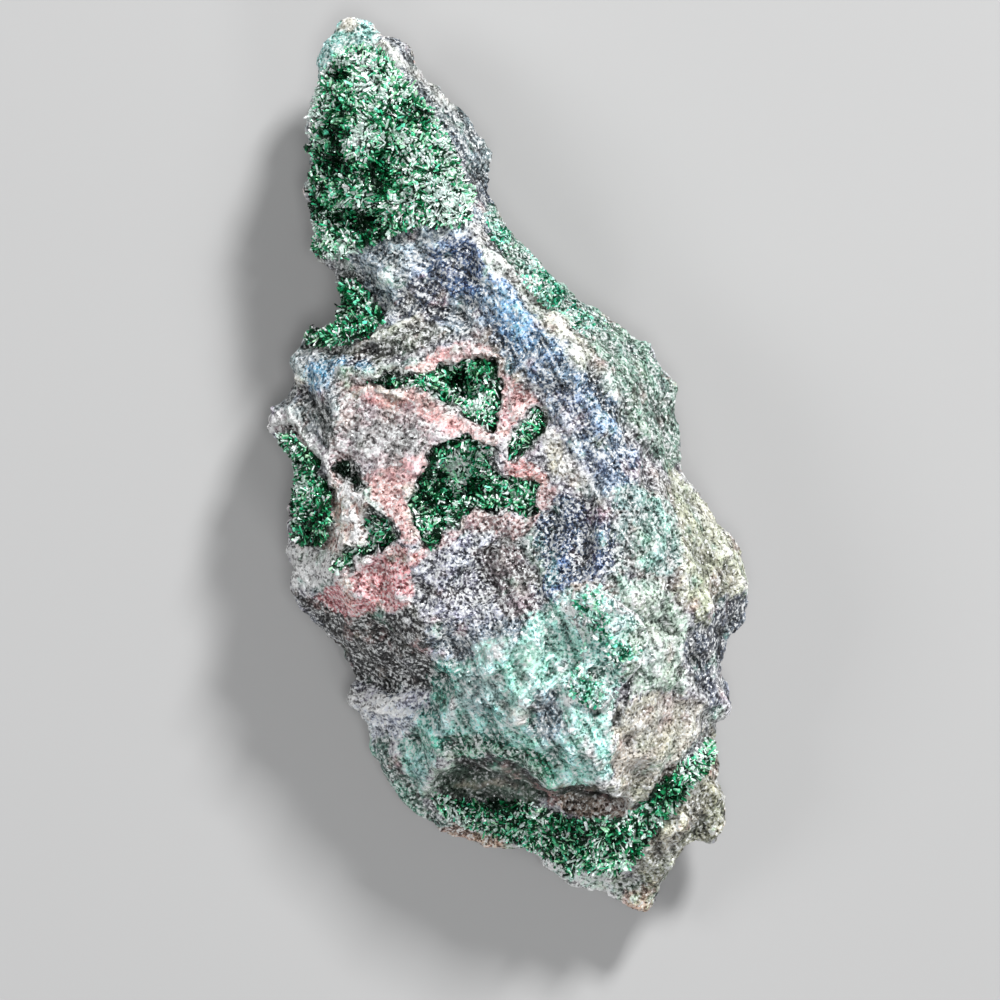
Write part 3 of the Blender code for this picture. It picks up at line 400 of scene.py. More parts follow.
# How much of the fine relief these zones lose
SMOOTH_ZONES = {"smooth_facet": 0.6, "hollow_wall": 0.5, "hollow_right_shadow": 0.5}
ZONE_WARP = 1.3  # how far noise shifts the zones' outlines, mm
ZONE_EDGE = 1.3  # how wide a zone's edge is for each mm of its softness
# Hollows whose edges are chipped, with a painted pale highlight on their upward-facing rims and painted
# dark shade on their walls
LINED_HOLLOWS = (
    "upper_vug_druse", "right_vug_druse", "middle_vug_druse", "small_vug_druse",
    "lower_vug_druse", "left_rim_druse", "notch_druse",
)
RIM_REACH = 1.3
RIM_CORE = 0.3
RIM_HIGHLIGHT, RIM_HIGHLIGHT_SHARE = (236, 206, 200), 0.45
RIM_WALL_SHADE, RIM_WALL_SHADE_SHARE = (6, 34, 20), 0.9

# Relief of the matrix: height or reach in mm, size in mm, octaves, seed
RIDGES = ((0.34, 4.2, 3, 3), (0.22, 1.7, 2, 9))
SHIFTS = ((0.16, 1.2, 2, 111), (0.32, 2.4, 3, 131))
RIM_CHIP = (1.4, 1.5, 2, 151)
CRUMB = 0.05
SUNK = 0.15  # keeps the ridges within the solid

CREASE_WARP = 0.6
CREASE_HEIGHT = 0.9
# How strongly crests are painted light and grooves painted shade
CREASE_PAINTED_LIGHT = 1.15
# Crests and grooves drawn along lines in plan: width in mm, height in mm, paleness, points; the paleness
# is painted highlight on crests and painted shade in grooves
CREASES = {
    "neck_edge": (0.6, 0.45, 0.9, ((-14.5, 48.2), (-11.5, 45.4), (-9.2, 43), (-7.4, 41), (-6.2, 40.4))),
    "neck_cleft": (0.5, -0.5, -0.8, ((-5.2, 40), (-6.8, 38.5))),
    "ridge_crest": (0.8, 0.8, 0.8, ((-3.8, 27.2), (-1.6, 24.2), (0.6, 21.6), (2.8, 19.8), (4.8, 17),
        (7.2, 14.4), (9.6, 12.2))),
    "ridge_second": (0.5, 0.4, 0.5, ((3.6, 19.8), (6, 17.4), (8.4, 14.4))),
    "ridge_step": (0.6, -0.6, -0.7, ((9.2, 11.2), (11.2, 7.8), (12.8, 5.4), (15.4, 2.6), (17.2, 0.6))),
    "ridge_step_edge": (0.6, 0.4, 0.4, ((10.4, 10.4), (12.4, 7.4), (14.4, 4.8), (17, 2.6))),
    "ridge_light": (0.5, 0.45, 0.6, ((5.4, 7), (7.2, 4), (8.6, 0.6), (9.6, -2.4), (10.6, -4))),
    "corner_light": (0.4, 0.35, 0.8, ((6.4, 1.6), (7.6, 0.2), (8.8, -1.6))),
    "flank_crest": (0.5, 0.5, 0.5, ((16.6, 0), (17.4, -3), (18.2, -5.8), (19.8, -8.8), (20.6, -11.8),
        (20.2, -15))),
    "flank_groove": (0.6, -0.5, -0.5, ((16, -2.4), (16.8, -5.2), (18.2, -8.6), (19.4, -11.4),
        (18.6, -14.2), (16.6, -16.6))),
    "flank_line": (0.5, 0.4, 0.7, ((13.6, -13.4), (15, -15.6), (16.4, -18.4), (17.6, -21))),
    "flank_long": (0.6, -0.5, -0.4, ((17.8, -18), (19.2, -21), (20, -24.2), (19.6, -27.2))),
    "flank_pale": (0.5, 0.45, 0.6, ((18.8, -19.6), (20.4, -22.8), (21.4, -25.8), (22.8, -28.6))),
    "rim_light": (0.6, 0.4, 0.7, ((19.8, -1.6), (22.2, -5.6), (24.6, -9.6), (26.2, -13.4))),
    "rim_step": (0.7, -0.7, -0.8, ((25.4, -11.6), (24.8, -14.4), (23.6, -17.2), (22.2, -20),
        (21.2, -22.6))),
    "purple_edge": (0.5, 0.4, 0.5, ((23.4, -21.6), (24, -24.8), (25.2, -27.6), (23.6, -29.2))),
    "brown_left": (0.6, -0.5, -0.7, ((-3.8, -9.6), (-3, -12), (-2.4, -13.6))),
    "brown_right": (0.6, -0.45, -0.6, ((2.4, -10.4), (3.4, -12.8), (4.4, -15.4))),
    "brown_line": (0.5, 0.35, 0.3, ((-1, -9.4), (0.6, -12.2), (1.6, -15))),
    "facet_top": (0.5, 0.4, 0.1, ((-17.4, -18.2), (-14.4, -17.4), (-12, -15.4))),
    "facet_right": (0.7, 0.6, 0.2, ((-12, -15.4), (-9.6, -17.6), (-7.8, -19.6), (-6.4, -22.4),
        (-6.2, -24.4))),
    "facet_foot": (0.5, -0.6, -0.7, ((-18, -24.6), (-15.2, -25.9), (-12.4, -26.4), (-9, -25.8),
        (-7, -24.4))),
    "facet_seam": (0.4, -0.4, -0.5, ((-20.2, -21.2), (-16, -22.2), (-12, -24.2), (-8.6, -24.8))),
    "lilac_crest": (0.6, 0.45, 0.5, ((-17.6, -26), (-13, -27.2), (-8.4, -26.6))),
    "crown_lump": (1.3, 0.7, 0.1, ((-3.2, -20.4), (-1.8, -21.2), (-0.4, -20.4))),
    "crown_left": (0.9, 0.5, 0.1, ((0.6, -20.6), (2.2, -20.4), (3.8, -20))),
    "lobe_crest": (1.1, 0.9, 0.15, ((4, -21.6), (2.8, -24), (1.8, -26.6), (0.6, -29.2))),
    "lobe_groove": (0.5, -0.7, -0.7, ((5.4, -22.6), (4.4, -24.8), (3.4, -27.2), (2.6, -30))),
    "purple_lump": (1.0, 0.6, 0.1, ((4.4, -26.6), (4.8, -29.6), (4.6, -32.2))),
    "middle_crest": (0.9, 0.5, 0.4, ((6.2, -22), (6.2, -25.4), (6.8, -28.4), (8.6, -31.6), (10.8, -34.4),
        (12.6, -36.8))),
    "lobe_pit": (0.6, -1.0, -1.0, ((7.8, -25.4), (9.2, -26.6), (10.4, -28.4))),
    "crown_pit": (0.7, -1.0, -0.9, ((12.4, -20.6), (13.2, -22.2), (14.4, -23))),
    "right_groove": (0.5, -0.7, -0.8, ((14, -22.6), (13.8, -25), (13.4, -27.6), (12.4, -29.6))),
    "right_crest": (0.7, 0.5, 0.4, ((12, -23.6), (12.6, -26.4), (11.8, -29.2), (12.2, -32.6))),
    "facet_crest": (0.4, 0.4, 0.5, ((15.8, -29.4), (15, -31.6), (14.6, -32.8))),
    "facet_edge": (0.5, 0.4, 0.4, ((22.4, -30), (20.4, -32.6), (18, -35), (16.4, -36.8), (15.8, -39))),
    "left_gully": (0.7, -0.5, -0.5, ((-5.6, -20.6), (-6.4, -24.2), (-8.6, -27.6), (-10.6, -31.4))),
    "left_crest": (0.9, 0.25, 0.1, ((-4.2, -22), (-4.8, -25.4), (-6.6, -29), (-9.8, -33.6))),
    "middle_gully": (0.7, -0.5, -0.4, ((-0.8, -23.6), (-1.2, -26.6), (-2, -29.6), (-1.6, -31.8))),
    "lip": (0.6, 0.6, 0.5, ((-9.8, -38.2), (-9, -35.6), (-6.2, -33.2), (-3, -32.3), (0.6, -32.9),
        (3.2, -34.6), (5.4, -36.4), (7.6, -35.8), (10.6, -36), (12.8, -37.2))),
    "wall_crest": (0.5, 0.4, 0.0, ((-5.6, -36.6), (-2.8, -36.2), (0.6, -37), (3.6, -37.6))),
    "knob_crest": (0.6, 0.6, 0.8, ((-27, 4), (-24.6, 5.2), (-22.4, 3.2), (-20.8, 0.8), (-19.8, -0.6))),
    "knob_groove": (0.6, -0.5, -0.7, ((-23.4, 7.8), (-21.4, 6.8), (-20.2, 4.4), (-19.8, 1.8))),
    "knob_top": (0.5, 0.4, 0.2, ((-24.8, 9), (-22.4, 9.6), (-20.2, 8.2), (-18.8, 5.6))),
    "olive_crest": (0.6, 0.5, 0.3, ((-22, 13.4), (-17, 13.3), (-13, 15.2), (-9.4, 16.6))),
    "olive_groove": (0.5, -0.6, -0.9, ((-15.6, 13), (-11.6, 12.8), (-8.2, 13.9), (-4.6, 14.9))),
    "pink_crest": (0.6, 0.4, 0.3, ((-10.6, 11.4), (-7.6, 13), (-4.4, 13.3), (-2, 12.4))),
    "shoulder_line": (0.5, 0.35, 0.4, ((-19.2, 8.6), (-15, 8.2), (-10.4, 7.6), (-6.6, 5.6), (-3.6, 4))),
    "saddle_crest": (0.8, 0.5, 0.3, ((-15.8, 20.8), (-12.2, 22), (-8.4, 24.6), (-5.2, 26.4))),
    "saddle_groove": (0.7, -0.5, -0.5, ((-13.4, 17.4), (-9.4, 17.9), (-5.4, 17), (-2.8, 14.4))),
    "floor_line": (0.5, -0.4, -0.5, ((17.4, -41), (19.6, -39.4), (22, -39.8))),
    "flank_fold": (0.5, 0.4, 0.3, ((21.6, -33.4), (21.8, -36.4), (20.2, -39.8), (18, -43.4))),
}


def on_drawing(points):
    """Each point's place on the drawing, mm."""
    out = points[:, :2] + DRAWING_SHIFT - DRAWING_MIDDLE
    return DRAWING_MIDDLE + out * (EYE_HEIGHT - TRUE_HEIGHT) / (EYE_HEIGHT - points[:, 2:3])


def creases(points):
    """Heights of the crests and grooves at every point, and their paleness: painted highlight on crests,
    painted shade in grooves.
    """
    plan = on_drawing(points) + CREASE_WARP * noises(points, 2.0, 3, 171, 22, 2)
    height, pale = np.zeros(len(points)), np.zeros(len(points))
    # They swell and fade along their way.
    vary = np.clip(0.65 + 1.1 * fractal(points, 2.6, 3, 181), 0, 1.5)
    for width, rise, tone, line in CREASES.values():
        shape = np.exp(-((line_distance(plan, line) / width) ** 2)) * vary
        height += CREASE_HEIGHT * rise * shape
        pale += CREASE_PAINTED_LIGHT * tone * shape
    return height, pale


def zone_masks(points):
    """How much of each zone every point takes, with edges broken up by noise."""
    plan = on_drawing(points) + ZONE_WARP * noises(points, 3.6, 5, 71, 22, 2)
    masks = {}
    for name, (_, soft, _, _, outline) in ZONES.items():
        edge = ZONE_EDGE * soft
        masks[name] = smooth_step(-edge, edge, inside_by(plan, outline))
    return masks


def granular(mask, grit):
    """A mask whose edge breaks up into grains instead of fading."""
    return smooth_step(0.34, 0.66, mask + 0.6 * grit * (1 - np.abs(2 * mask - 1)))


def folded(points, masks):
    """The folds' heights, their painted light and shade, which follows the heights, and the share of each
    grain direction.
    """
    height, light = np.zeros(len(points)), np.zeros(len(points))
    grain = np.zeros((len(points), 3))
    grain[:, 0] = LOOSE_GRAIN
    for name, (angle, across, along, rise) in FOLDS.items():
        fold = masks[name] * streaks(points, angle, across, along, 200 + len(name))
        height += rise * fold
        light += fold
        nearest = int(np.argmin([abs(angle - known) for known in GRAIN_ANGLES]))
        grain *= 1 - masks[name][:, None]
        grain[:, nearest] += masks[name]
    return height, np.clip(light, -1, 1), grain


def distance_to(nodes, points, reach):
    """How far each point is from the nearest of these CAD nodes, up to a reach, in mm."""
    verts, faces = [], []
    for node in nodes:
        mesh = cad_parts[node].data
        first = len(verts)
        verts += [v.co for v in mesh.vertices]
        faces += [[first + i for i in p.vertices] for p in mesh.polygons]
    tree = BVHTree.FromPolygons(verts, faces)
    found = (tree.find_nearest(Vector(p) * MM, reach * MM)[3] for p in points)
    return np.array([reach if d is None else d / MM for d in found])


def build_matrix():
    """The rock: its fine relief, and the colour, speckle and grain at every point."""
    obj = remeshed("matrix", "matrix_rock", MATRIX_VOXEL)
    mesh = obj.data
    points, normals = arrays(mesh)
    rest = smooth_step(0.02, BASE_HEIGHT, points[:, 2])
    masks = zone_masks(points)
    easy = eased(mesh, normals, 6)
    facing = smooth_step(-0.1, 0.4, easy[:, 2])
    smooth = np.ones(len(points))
    for name, share in SMOOTH_ZONES.items():
        smooth *= 1 - share * masks[name]
    # The creases' paleness is painted highlight on crests and painted shade in grooves.
    crease, pale = creases(points)
    folds, light, grain = folded(points, masks)
    rim = 1 - smooth_step(RIM_CORE, RIM_REACH, distance_to(LINED_HOLLOWS, points, RIM_REACH))
    out = sum(height * ridged(points, *kind) for height, *kind in RIDGES)
    out = out * smooth + folds + crease * facing
    crumb = np.random.default_rng(5).normal(0.0, 1.0, points.shape)
    moved = points + normals * (out - SUNK)[:, None] * rest[:, None]
    shift = sum(reach * noises(points, *kind) for reach, *kind in SHIFTS)
    moved += (shift + CRUMB * crumb) * (smooth * rest)[:, None]
    reach, *kind = RIM_CHIP
    moved += reach * noises(points, *kind) * rim[:, None]
    moved[:, 2] = np.maximum(moved[:, 2], 0.0)
    place(mesh, moved)
    colours, speck = matrix_colours(mesh, moved, normals, masks, pale * facing)
    # Painted light and shade of the folds: lighter where they rise, darker where they sink.
    colours *= (1 + 0.6 * light)[:, None]
    top = smooth_step(0.35, 0.7, easy[:, 2])
    # Painted highlight on the hollows' upward-facing rims, painted shade on their walls.
    mix_in(colours, RIM_HIGHLIGHT, RIM_HIGHLIGHT_SHARE * rim * top)
    mix_in(colours, RIM_WALL_SHADE, RIM_WALL_SHADE_SHARE * rim * (1 - top))
    paint(mesh, "tint", colours)
    paint(mesh, "grain", grain)
    keep_value(mesh, "speck", speck)
    return obj


# Colours of the rock outside the zones
LILAC, GREEN, BROWN = (146, 146, 154), (134, 154, 144), (140, 132, 124)
# Painted highlight for the crests and painted shade for the grooves
CREST_HIGHLIGHT, GROOVE_SHADE = (226, 224, 214), (40, 44, 42)
# Patches of the underside: colour, size in mm, seed, noise where they start and are full
UNDERSIDES = (((96, 132, 112), 7.0, 61, 0.1, 0.4), ((176, 128, 120), 5.0, 67, 0.15, 0.45))
PLAIN_SPECK = 0.85
GRIT_CELL = 0.45
# Stray patches of the neighbours' minerals: colour, size in mm, seed
STRAYS = (
    ((96, 104, 122), 2.2, 83), ((196, 194, 190), 1.8, 85), ((196, 158, 156), 2.6, 87),
    ((120, 186, 164), 2.6, 89), ((120, 110, 96), 2.4, 91),
)
STRAY_SHARE = 0.42
# Painted shade makes creases darker than crests: rounds of easing, depth in mm that counts as full,
# darkening
CREASE_SHADES = ((3, 0.10, 0.28), (22, 0.35, 0.34), (90, 0.9, 0.30))


def matrix_colours(mesh, points, normals, masks, pale):
    """The rock's colour and speckle at every point, with painted highlight on crests and painted shade in
    grooves and creases.
    """
    colours = linear(LILAC) + 0 * points
    mix_in(colours, GREEN, smooth_step(0.0, 0.35, fractal(points, 9.0, 3, 41)))
    mix_in(colours, BROWN, smooth_step(0.05, 0.4, fractal(points, 6.0, 3, 47)))
    speck = np.full(len(points), PLAIN_SPECK)
    easy = eased(mesh, normals, 12)
    seen = smooth_step(-0.45, 0.05, easy[:, 2])
    cells = np.floor(points / GRIT_CELL).astype(np.int64)
    grit = 2 * cell_random(*cells.T, 29) - 1
    grit = 0.6 * grit + fractal(points, 1.2, 3, 53)
    for name, (colour, _, strength, contrast, _) in ZONES.items():
        share = granular(masks[name], grit) * strength * seen
        mix_in(colours, colour, share)
        speck += share * (contrast - speck)
    for colour, size, seed in STRAYS:
        patch = fractal(points, size, 3, seed) + 0.25 * grit
        mix_in(colours, colour, STRAY_SHARE * smooth_step(0.30, 0.62, patch))
    for colour, size, seed, low, high in UNDERSIDES:
        under = (1 - seen) * smooth_step(low, high, fractal(points, size, 3, seed))
        mix_in(colours, colour, 0.8 * under)
    # Painted highlight on the crests and painted shade in the grooves.
    mix_in(colours, CREST_HIGHLIGHT, 0.55 * np.clip(pale, 0, 1))
    mix_in(colours, GROOVE_SHADE, 0.65 * np.clip(-pale, 0, 1))
    # Painted shade: the deeper a point lies below its eased neighbours, the darker it is painted.
    for passes, depth, amount in CREASE_SHADES:
        hollow = np.einsum("ij,ij->i", eased(mesh, points, passes) - points, normals) / depth
        colours *= (1 - amount * np.clip(hollow, -1, 1))[:, None]
    # Lightness, hue and fine veins vary from place to place.
    hue = noises(points, 2.6, 3, 77, 7)
    veins = ridged(points, 1.9, 2, 95)[:, None]
    colours *= 1 + 0.16 * hue[:, :1] + 0.10 * hue + 0.26 * veins
    return np.clip(colours, 0.004, 0.95), speck


def mix_in(colours, rgb, share):
    """Moves the colours towards one colour, by a share at each point."""
    colours += (linear(rgb) - colours) * np.reshape(share, (-1, 1))


# Crystals.

CRUSTS = {
    # node: crystals' length and width in mm, brightness, and whether they are pale and patchy
    "neck_druse": (0.83, 0.31, 0.10, False),
    "notch_druse": (0.80, 0.30, -0.04, False),
    "left_rim_druse": (0.76, 0.30, 0.01, False),
    "upper_vug_druse": (0.76, 0.30, 0.08, False),
    "right_vug_druse": (0.69, 0.28, 0.22, False),
    "middle_vug_druse": (0.76, 0.30, 0.07, False),
    # So low a brightness is painted shade deep in the small hollow
    "small_vug_druse": (0.55, 0.34, -1.4, False),
    "lower_vug_druse": (0.76, 0.28, 0.12, False),
    "terrace_druse": (0.76, 0.30, 0.12, False),
    "crown_druse": (0.50, 0.36, 0.25, True),
    "shoulder_druse": (0.50, 0.36, 0.0, True),
}
DENSITY = 12.0  # crystals to a square mm
# Tones of the crystals from the darkest to the palest, each with its share
# The near white tones in both lists are partly painted glints on the crystals.
TONES = (
    ((0, 14, 6), 0.23), ((2, 56, 26), 0.17), ((14, 116, 68), 0.14), ((56, 184, 130), 0.12),
    ((128, 240, 196), 0.12), ((234, 255, 246), 0.22),
)
PALE_TONES = (
    ((6, 78, 54), 0.14), ((34, 158, 118), 0.14), ((120, 220, 190), 0.18),
    ((194, 246, 232), 0.24), ((246, 255, 253), 0.30),
)
# Bright bulges and dark pits of the crusts: place on the drawing, radius in mm, light, height
# Their light is partly the crystals' own tone, partly painted shade in pits and under the lip and painted
# highlight on bulges.
BULGES = (
    (-19.8, 46.2, 2.2, 0.4, -0.3), (-18.7, 44.8, 1.4, -0.6, -0.6), (-16.2, 45.3, 2.2, 0.3, 0.2),
    (-14.6, 42.8, 2.2, 0.4, 0.4), (-12, 42.2, 1.6, 0.4, 0.2), (-22, 39.8, 1.9, 0.5, 0.3),
    (-19.2, 38.4, 1.7, -0.45, -0.5), (-21.6, 36.8, 1.5, 0.3, 0.2), (-16.6, 37.3, 1.9, 0.45, 0.5),
    (-19.2, 34.2, 1.8, -0.6, -0.7), (-17.4, 35.7, 1.2, 0.3, 0.2), (-13.8, 34.1, 1.7, -0.6, -0.7),
    (-12, 36.8, 1.4, 0.35, 0.3), (-8.8, 37, 2.6, 0.3, 0.3), (-7.2, 33.8, 2.2, 0.25, 0.2),
    (-11.4, 33.6, 1.3, 0.35, 0.3), (-18.2, 31.8, 2.1, 0.1, 0.8), (-14.4, 31.4, 1.5, -0.4, 0.4),
    (-22.3, 29.6, 1.3, -0.5, 0), (-8.2, 29.8, 2.6, 0.4, 0.3), (-5.4, 29.6, 1.8, 0.5, 0),
    (-19.2, 28, 1.6, -0.4, -0.3), (-16.3, 27.4, 1.5, -0.9, -0.9), (-12.4, 29.4, 1.6, 0.2, 0.3),
    (-18.4, 24.7, 1.5, 0.5, 0.2), (-21, 25.8, 1.2, 0.3, 0.2), (-10, 27.2, 1.4, 0.1, 0.1),
    (-10.6, -0.2, 1.4, -0.7, 0), (-9.2, 1.4, 1.2, -0.6, 0), (-5.4, -0.6, 1.8, 0.5, 0.4),
    (-3, -2.8, 1.6, -0.3, 0.2), (0.8, -3, 1.6, 0.35, 0.2), (-7.6, -6.8, 1.6, -0.1, 0.3),
    (-8.4, -3.6, 1.5, -0.3, 0.3), (-3.2, 6.6, 1.8, 0.35, 0.3), (-2.6, 9.8, 1.6, -0.2, 0.3),
    (-5.4, 10.2, 1.2, -0.4, 0), (-22, -6.6, 1.6, -0.4, 0), (-23.2, -2.6, 1.3, 0.35, 0.2),
    (-5.2, -38.4, 1.6, -0.6, 0), (1.2, -38.6, 1.6, -0.3, 0), (3.2, -39.4, 1.4, 0.3, 0.2),
    (8.4, -41.4, 2, -0.4, -0.2), (12.4, -42.8, 1.6, -0.5, -0.3), (17.4, -37, 1.5, -0.4, -0.2),
    (21.4, -32.4, 1.8, 0.6, 0.2), (-5.6, -39.8, 1.4, 0.4, 0.1), (12.4, -45.8, 1.8, 0.2, 0),
    (9, -15.6, 1.5, -0.5, 0), (10.8, -18.6, 1.9, -0.4, 0), (12.9, -21.6, 1.5, -0.9, 0),
    (9.4, -39.6, 1.5, 0.6, 0.3), (12.4, -39.4, 1.2, 0.4, 0.2), (-1.4, -39.2, 0.9, -0.8, -0.3),
    (9.2, -26, 1.6, -0.9, 0), (7.6, -24.2, 1.4, -0.4, 0), (12.4, -16.6, 1.5, 0.5, 0),
    (14.6, -19, 1.6, 0.6, 0), (13.4, -24, 1.4, 0.6, 0), (10.2, -22.6, 1.6, 0.6, 0),
    (8, -18.6, 1.2, 0.4, 0), (1.6, 22.8, 1.4, 0.5, 0), (5, 19.2, 1.4, -0.4, 0), (8.6, 16, 1.5, -0.3, 0),
    (-0.8, 25.8, 1.4, -0.3, 0), (10, 14.8, 1.2, 0.5, 0),
)
# Near black green: the crust's own dark green with painted shade between the crystals
GROUND = linear((2, 30, 14))  # between the crystals
LOWERED = 0.45  # the base lies this much under the solid's top, mm
SPREAD = 0.30  # and its walls this much outside the solid's, mm
# Relief of a crust's base: height in mm, size in mm, seed
RIPPLES = (0.34, 1.9, 300)
SWELLS = (0.35, 4.6, 310)
# How much the crystals lean together and apart
LEAN_TOGETHER = 1.1
LEAN_APART = 0.55
SHORTEST = 0.35  # length of a crystal on a steep side, as a share
LONGEST = 1.7  # length of the longest crystals, as a multiple
# Clusters of brighter and darker crystals: strength, size in mm, octaves, seed
CLUSTERS = ((0.34, 3.4, 2, 500), (0.20, 1.1, 1, 540))
TONE_SCATTER = 0.44
CLEARANCE = 0.7  # room for a crystal in front of its root, mm
# A blade's thickness by its width, its shoulder by its length, its root, its tip's lean
BLADE_THICKNESS = (0.35, 0.75)
BLADE_SHOULDER = (0.78, 0.95)
BLADE_ROOT_RISE, BLADE_ROOT_WIDTH = -0.25, 0.85
BLADE_LEAN = 0.6
BLADE_CORNERS = 9


def bulging(points):
    """Lightness and height that the drawn bulges and pits add at every point."""
    plan = on_drawing(points)
    light, height = np.zeros(len(points)), np.zeros(len(points))
    for x, y, radius, tone, rise in BULGES:
        share = np.exp(-((np.hypot(plan[:, 0] - x, plan[:, 1] - y) / radius) ** 2))
        light += tone * share
        height += rise * share
    return light, height


def surface_spots(mesh, density, rng):
    """Random spots on a mesh's triangles: places and outward directions, mm."""
    mesh.calc_loop_triangles()
    tris = read(mesh.loop_triangles, "vertices", 3, np.int32)
    points, normals = arrays(mesh)
    corner = points[tris]
    cross = np.cross(corner[:, 1] - corner[:, 0], corner[:, 2] - corner[:, 0])
    area = 0.5 * np.linalg.norm(cross, axis=1)
    count = rng.poisson(area * density)
    chosen = np.repeat(np.arange(len(tris)), count)
    a, b = rng.random(len(chosen)), rng.random(len(chosen))
    flip = a + b > 1
    a[flip], b[flip] = 1 - a[flip], 1 - b[flip]
    w = np.stack([1 - a - b, a, b], 1)[:, :, None]
    return (corner[chosen] * w).sum(1), unit((normals[tris][chosen] * w).sum(1))


def unit(v):
    return v / np.maximum(np.linalg.norm(v, axis=1), 1e-9)[:, None]


def prisms(roots, directions, lengths, widths, rng):
    """Closed four-sided blades with chisel points: vertices and faces as arrays."""
    n = len(roots)
    helper = unit(rng.normal(size=(n, 3)))
    side = unit(np.cross(directions, helper))
    front = np.cross(directions, side)
    half = 0.5 * widths[:, None]
    flat = rng.uniform(*BLADE_THICKNESS, n)[:, None]
    shoulder = rng.uniform(*BLADE_SHOULDER, n)[:, None]
    rings = []
    for rise, grow in ((BLADE_ROOT_RISE, BLADE_ROOT_WIDTH), (shoulder, 1.0)):
        up = directions * lengths[:, None] * rise
        for u, v in ((1, 0), (0, 1), (-1, 0), (0, -1)):
            rings.append(roots + up + grow * half * (u * side + v * flat * front))
    lean = rng.uniform(-BLADE_LEAN, BLADE_LEAN, n)[:, None]
    tip = roots + directions * lengths[:, None] + lean * half * side
    verts = np.stack(rings + [tip], 1).reshape(-1, 3)
    around = [(i, (i + 1) % 4) for i in range(4)]
    quads = np.array([(a, b, 4 + b, 4 + a) for a, b in around] + [(3, 2, 1, 0)])
    tris = np.array([(4 + a, 4 + b, 8) for a, b in around])
    start = BLADE_CORNERS * np.arange(n)[:, None, None]
    return verts, (quads[None] + start).reshape(-1, 4), (tris[None] + start).reshape(-1, 3)


def grow_crust(node, index, rock):
    """One crust: a lumpy base and its crystals, and each face's place among the materials."""
    length, width, bright, pale = CRUSTS[node]
    rng = np.random.default_rng(100 + index)
    obj = remeshed(node, node + "_crystals", CRUST_VOXEL)
    base = obj.data
    points, normals = arrays(base)
    lumps = eased(base, points, 4)
    easy = eased(base, normals, 3)
    upward = smooth_step(-0.1, 0.5, easy[:, 2])
    lumps -= (LOWERED * upward)[:, None] * easy
    height, *kind = RIPPLES
    rise = height * crests(points, *kind)
    if not pale:
        height, *kind = SWELLS
        rise += height * value_noise(points, *kind) + bulging(points)[1]
    lumps += easy * (upward * rise)[:, None]
    sideways = np.linalg.norm(easy[:, :2], axis=1) * (1 - upward)
    lumps[:, :2] += (SPREAD * sideways)[:, None] * easy[:, :2]
    place(base, lumps)
    spots, outward = surface_spots(base, DENSITY, rng)
    keep = (outward[:, 2] > 0.0) & clear_of(rock, spots, outward)
    if pale:
        patch = fractal(spots, 2.6, 3, 320) - 1.2 * bulging(spots)[0]
        keep &= rng.random(len(spots)) < smooth_step(-0.2, 0.5, patch)
    spots, outward = spots[keep], outward[keep]
    n = len(spots)
    common = noises(spots, 2.4, 2, 400)
    directions = unit(outward + LEAN_TOGETHER * common + LEAN_APART * rng.normal(size=(n, 3)))
    edge = SHORTEST + (1 - SHORTEST) * smooth_step(0.1, 0.7, outward[:, 2])
    lengths = length * edge * np.minimum(rng.lognormal(-0.15, 0.35, n), LONGEST)
    widths = width * rng.lognormal(-0.1, 0.3, n)
    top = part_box(node)[1].z / MM
    verts, quads, tris = prisms(spots, directions, lengths, widths, rng)
    verts[:, 2] = np.minimum(verts[:, 2], top)
    tones = crystal_tones(spots, bright, PALE_TONES if pale else TONES, rng)
    if pale:
        no_creases = np.zeros(len(points))
        ground, speck = matrix_colours(base, lumps, normals, zone_masks(points), no_creases)
    else:
        ground = GROUND * (1 + 0.5 * fractal(lumps, 1.0, 2, 600))[:, None]
        speck = np.zeros(len(points))
    tones = np.repeat(tones, BLADE_CORNERS, axis=0)
    return obj, merge_in(obj, verts, quads, tris, tones, ground, speck)


def crystal_tones(spots, bright, tones, rng):
    """One colour for each crystal, brighter and darker in clusters."""
    n = len(spots)
    mood = 0.5 + bright + bulging(spots)[0]
    mood += sum(strength * fractal(spots, *kind) for strength, *kind in CLUSTERS)
    mood += rng.uniform(-TONE_SCATTER, TONE_SCATTER, n)
    limits = np.cumsum([share for _, share in tones])
    found = linear(tones[0][0]) + 0 * spots
    for (colour, _), limit in zip(tones[1:], limits):
        found[mood > limit] = linear(colour)
    # The redder of the green crystals look olive.
    found[:, 0] *= np.where(found[:, 0] < 0.3, rng.uniform(0.6, 2.4, n), 1.0)
    return found * rng.uniform(0.75, 1.2, n)[:, None]


def clear_of(rock, spots, outward):
    """Whether a crystal at each spot would stand clear of the matrix."""
    free = []
    for spot, way in zip(spots, outward):
        hit = rock.ray_cast(Vector((spot + 0.05 * way) * MM), Vector(way), CLEARANCE * MM)[0]
        free.append(hit is None)
    return np.array(free)


def merge_in(obj, verts, quads, tris, tones, ground, speck):
    """Adds the crystals to the base as one mesh. Returns each face's material number:
    0 on a crystal, 1 on the base.
    """
    base = obj.data
    first = len(base.vertices)
    points, _ = arrays(base)
    bm = bmesh.new()
    bm.from_mesh(base)
    bmesh.ops.triangulate(bm, faces=bm.faces)
    bm.to_mesh(base)
    bm.free()
    below = read(base.polygons, "vertices", 3, np.int32)
    faces = [tuple(f) for f in (*below, *(quads + first), *(tris + first))]
    mesh = bpy.data.meshes.new(obj.name)
    mesh.from_pydata((np.concatenate([points, verts]) * MM).tolist(), [], faces)
    paint(mesh, "tint", np.clip(np.concatenate([ground, tones]), 0.001, 0.95))
    keep_value(mesh, "speck", np.concatenate([speck, np.zeros(len(verts))]))
    looks = (np.arange(len(faces)) < len(below)).astype(np.int32)
    obj.data = mesh
    bpy.data.meshes.remove(base)
    return looks


# Materials.

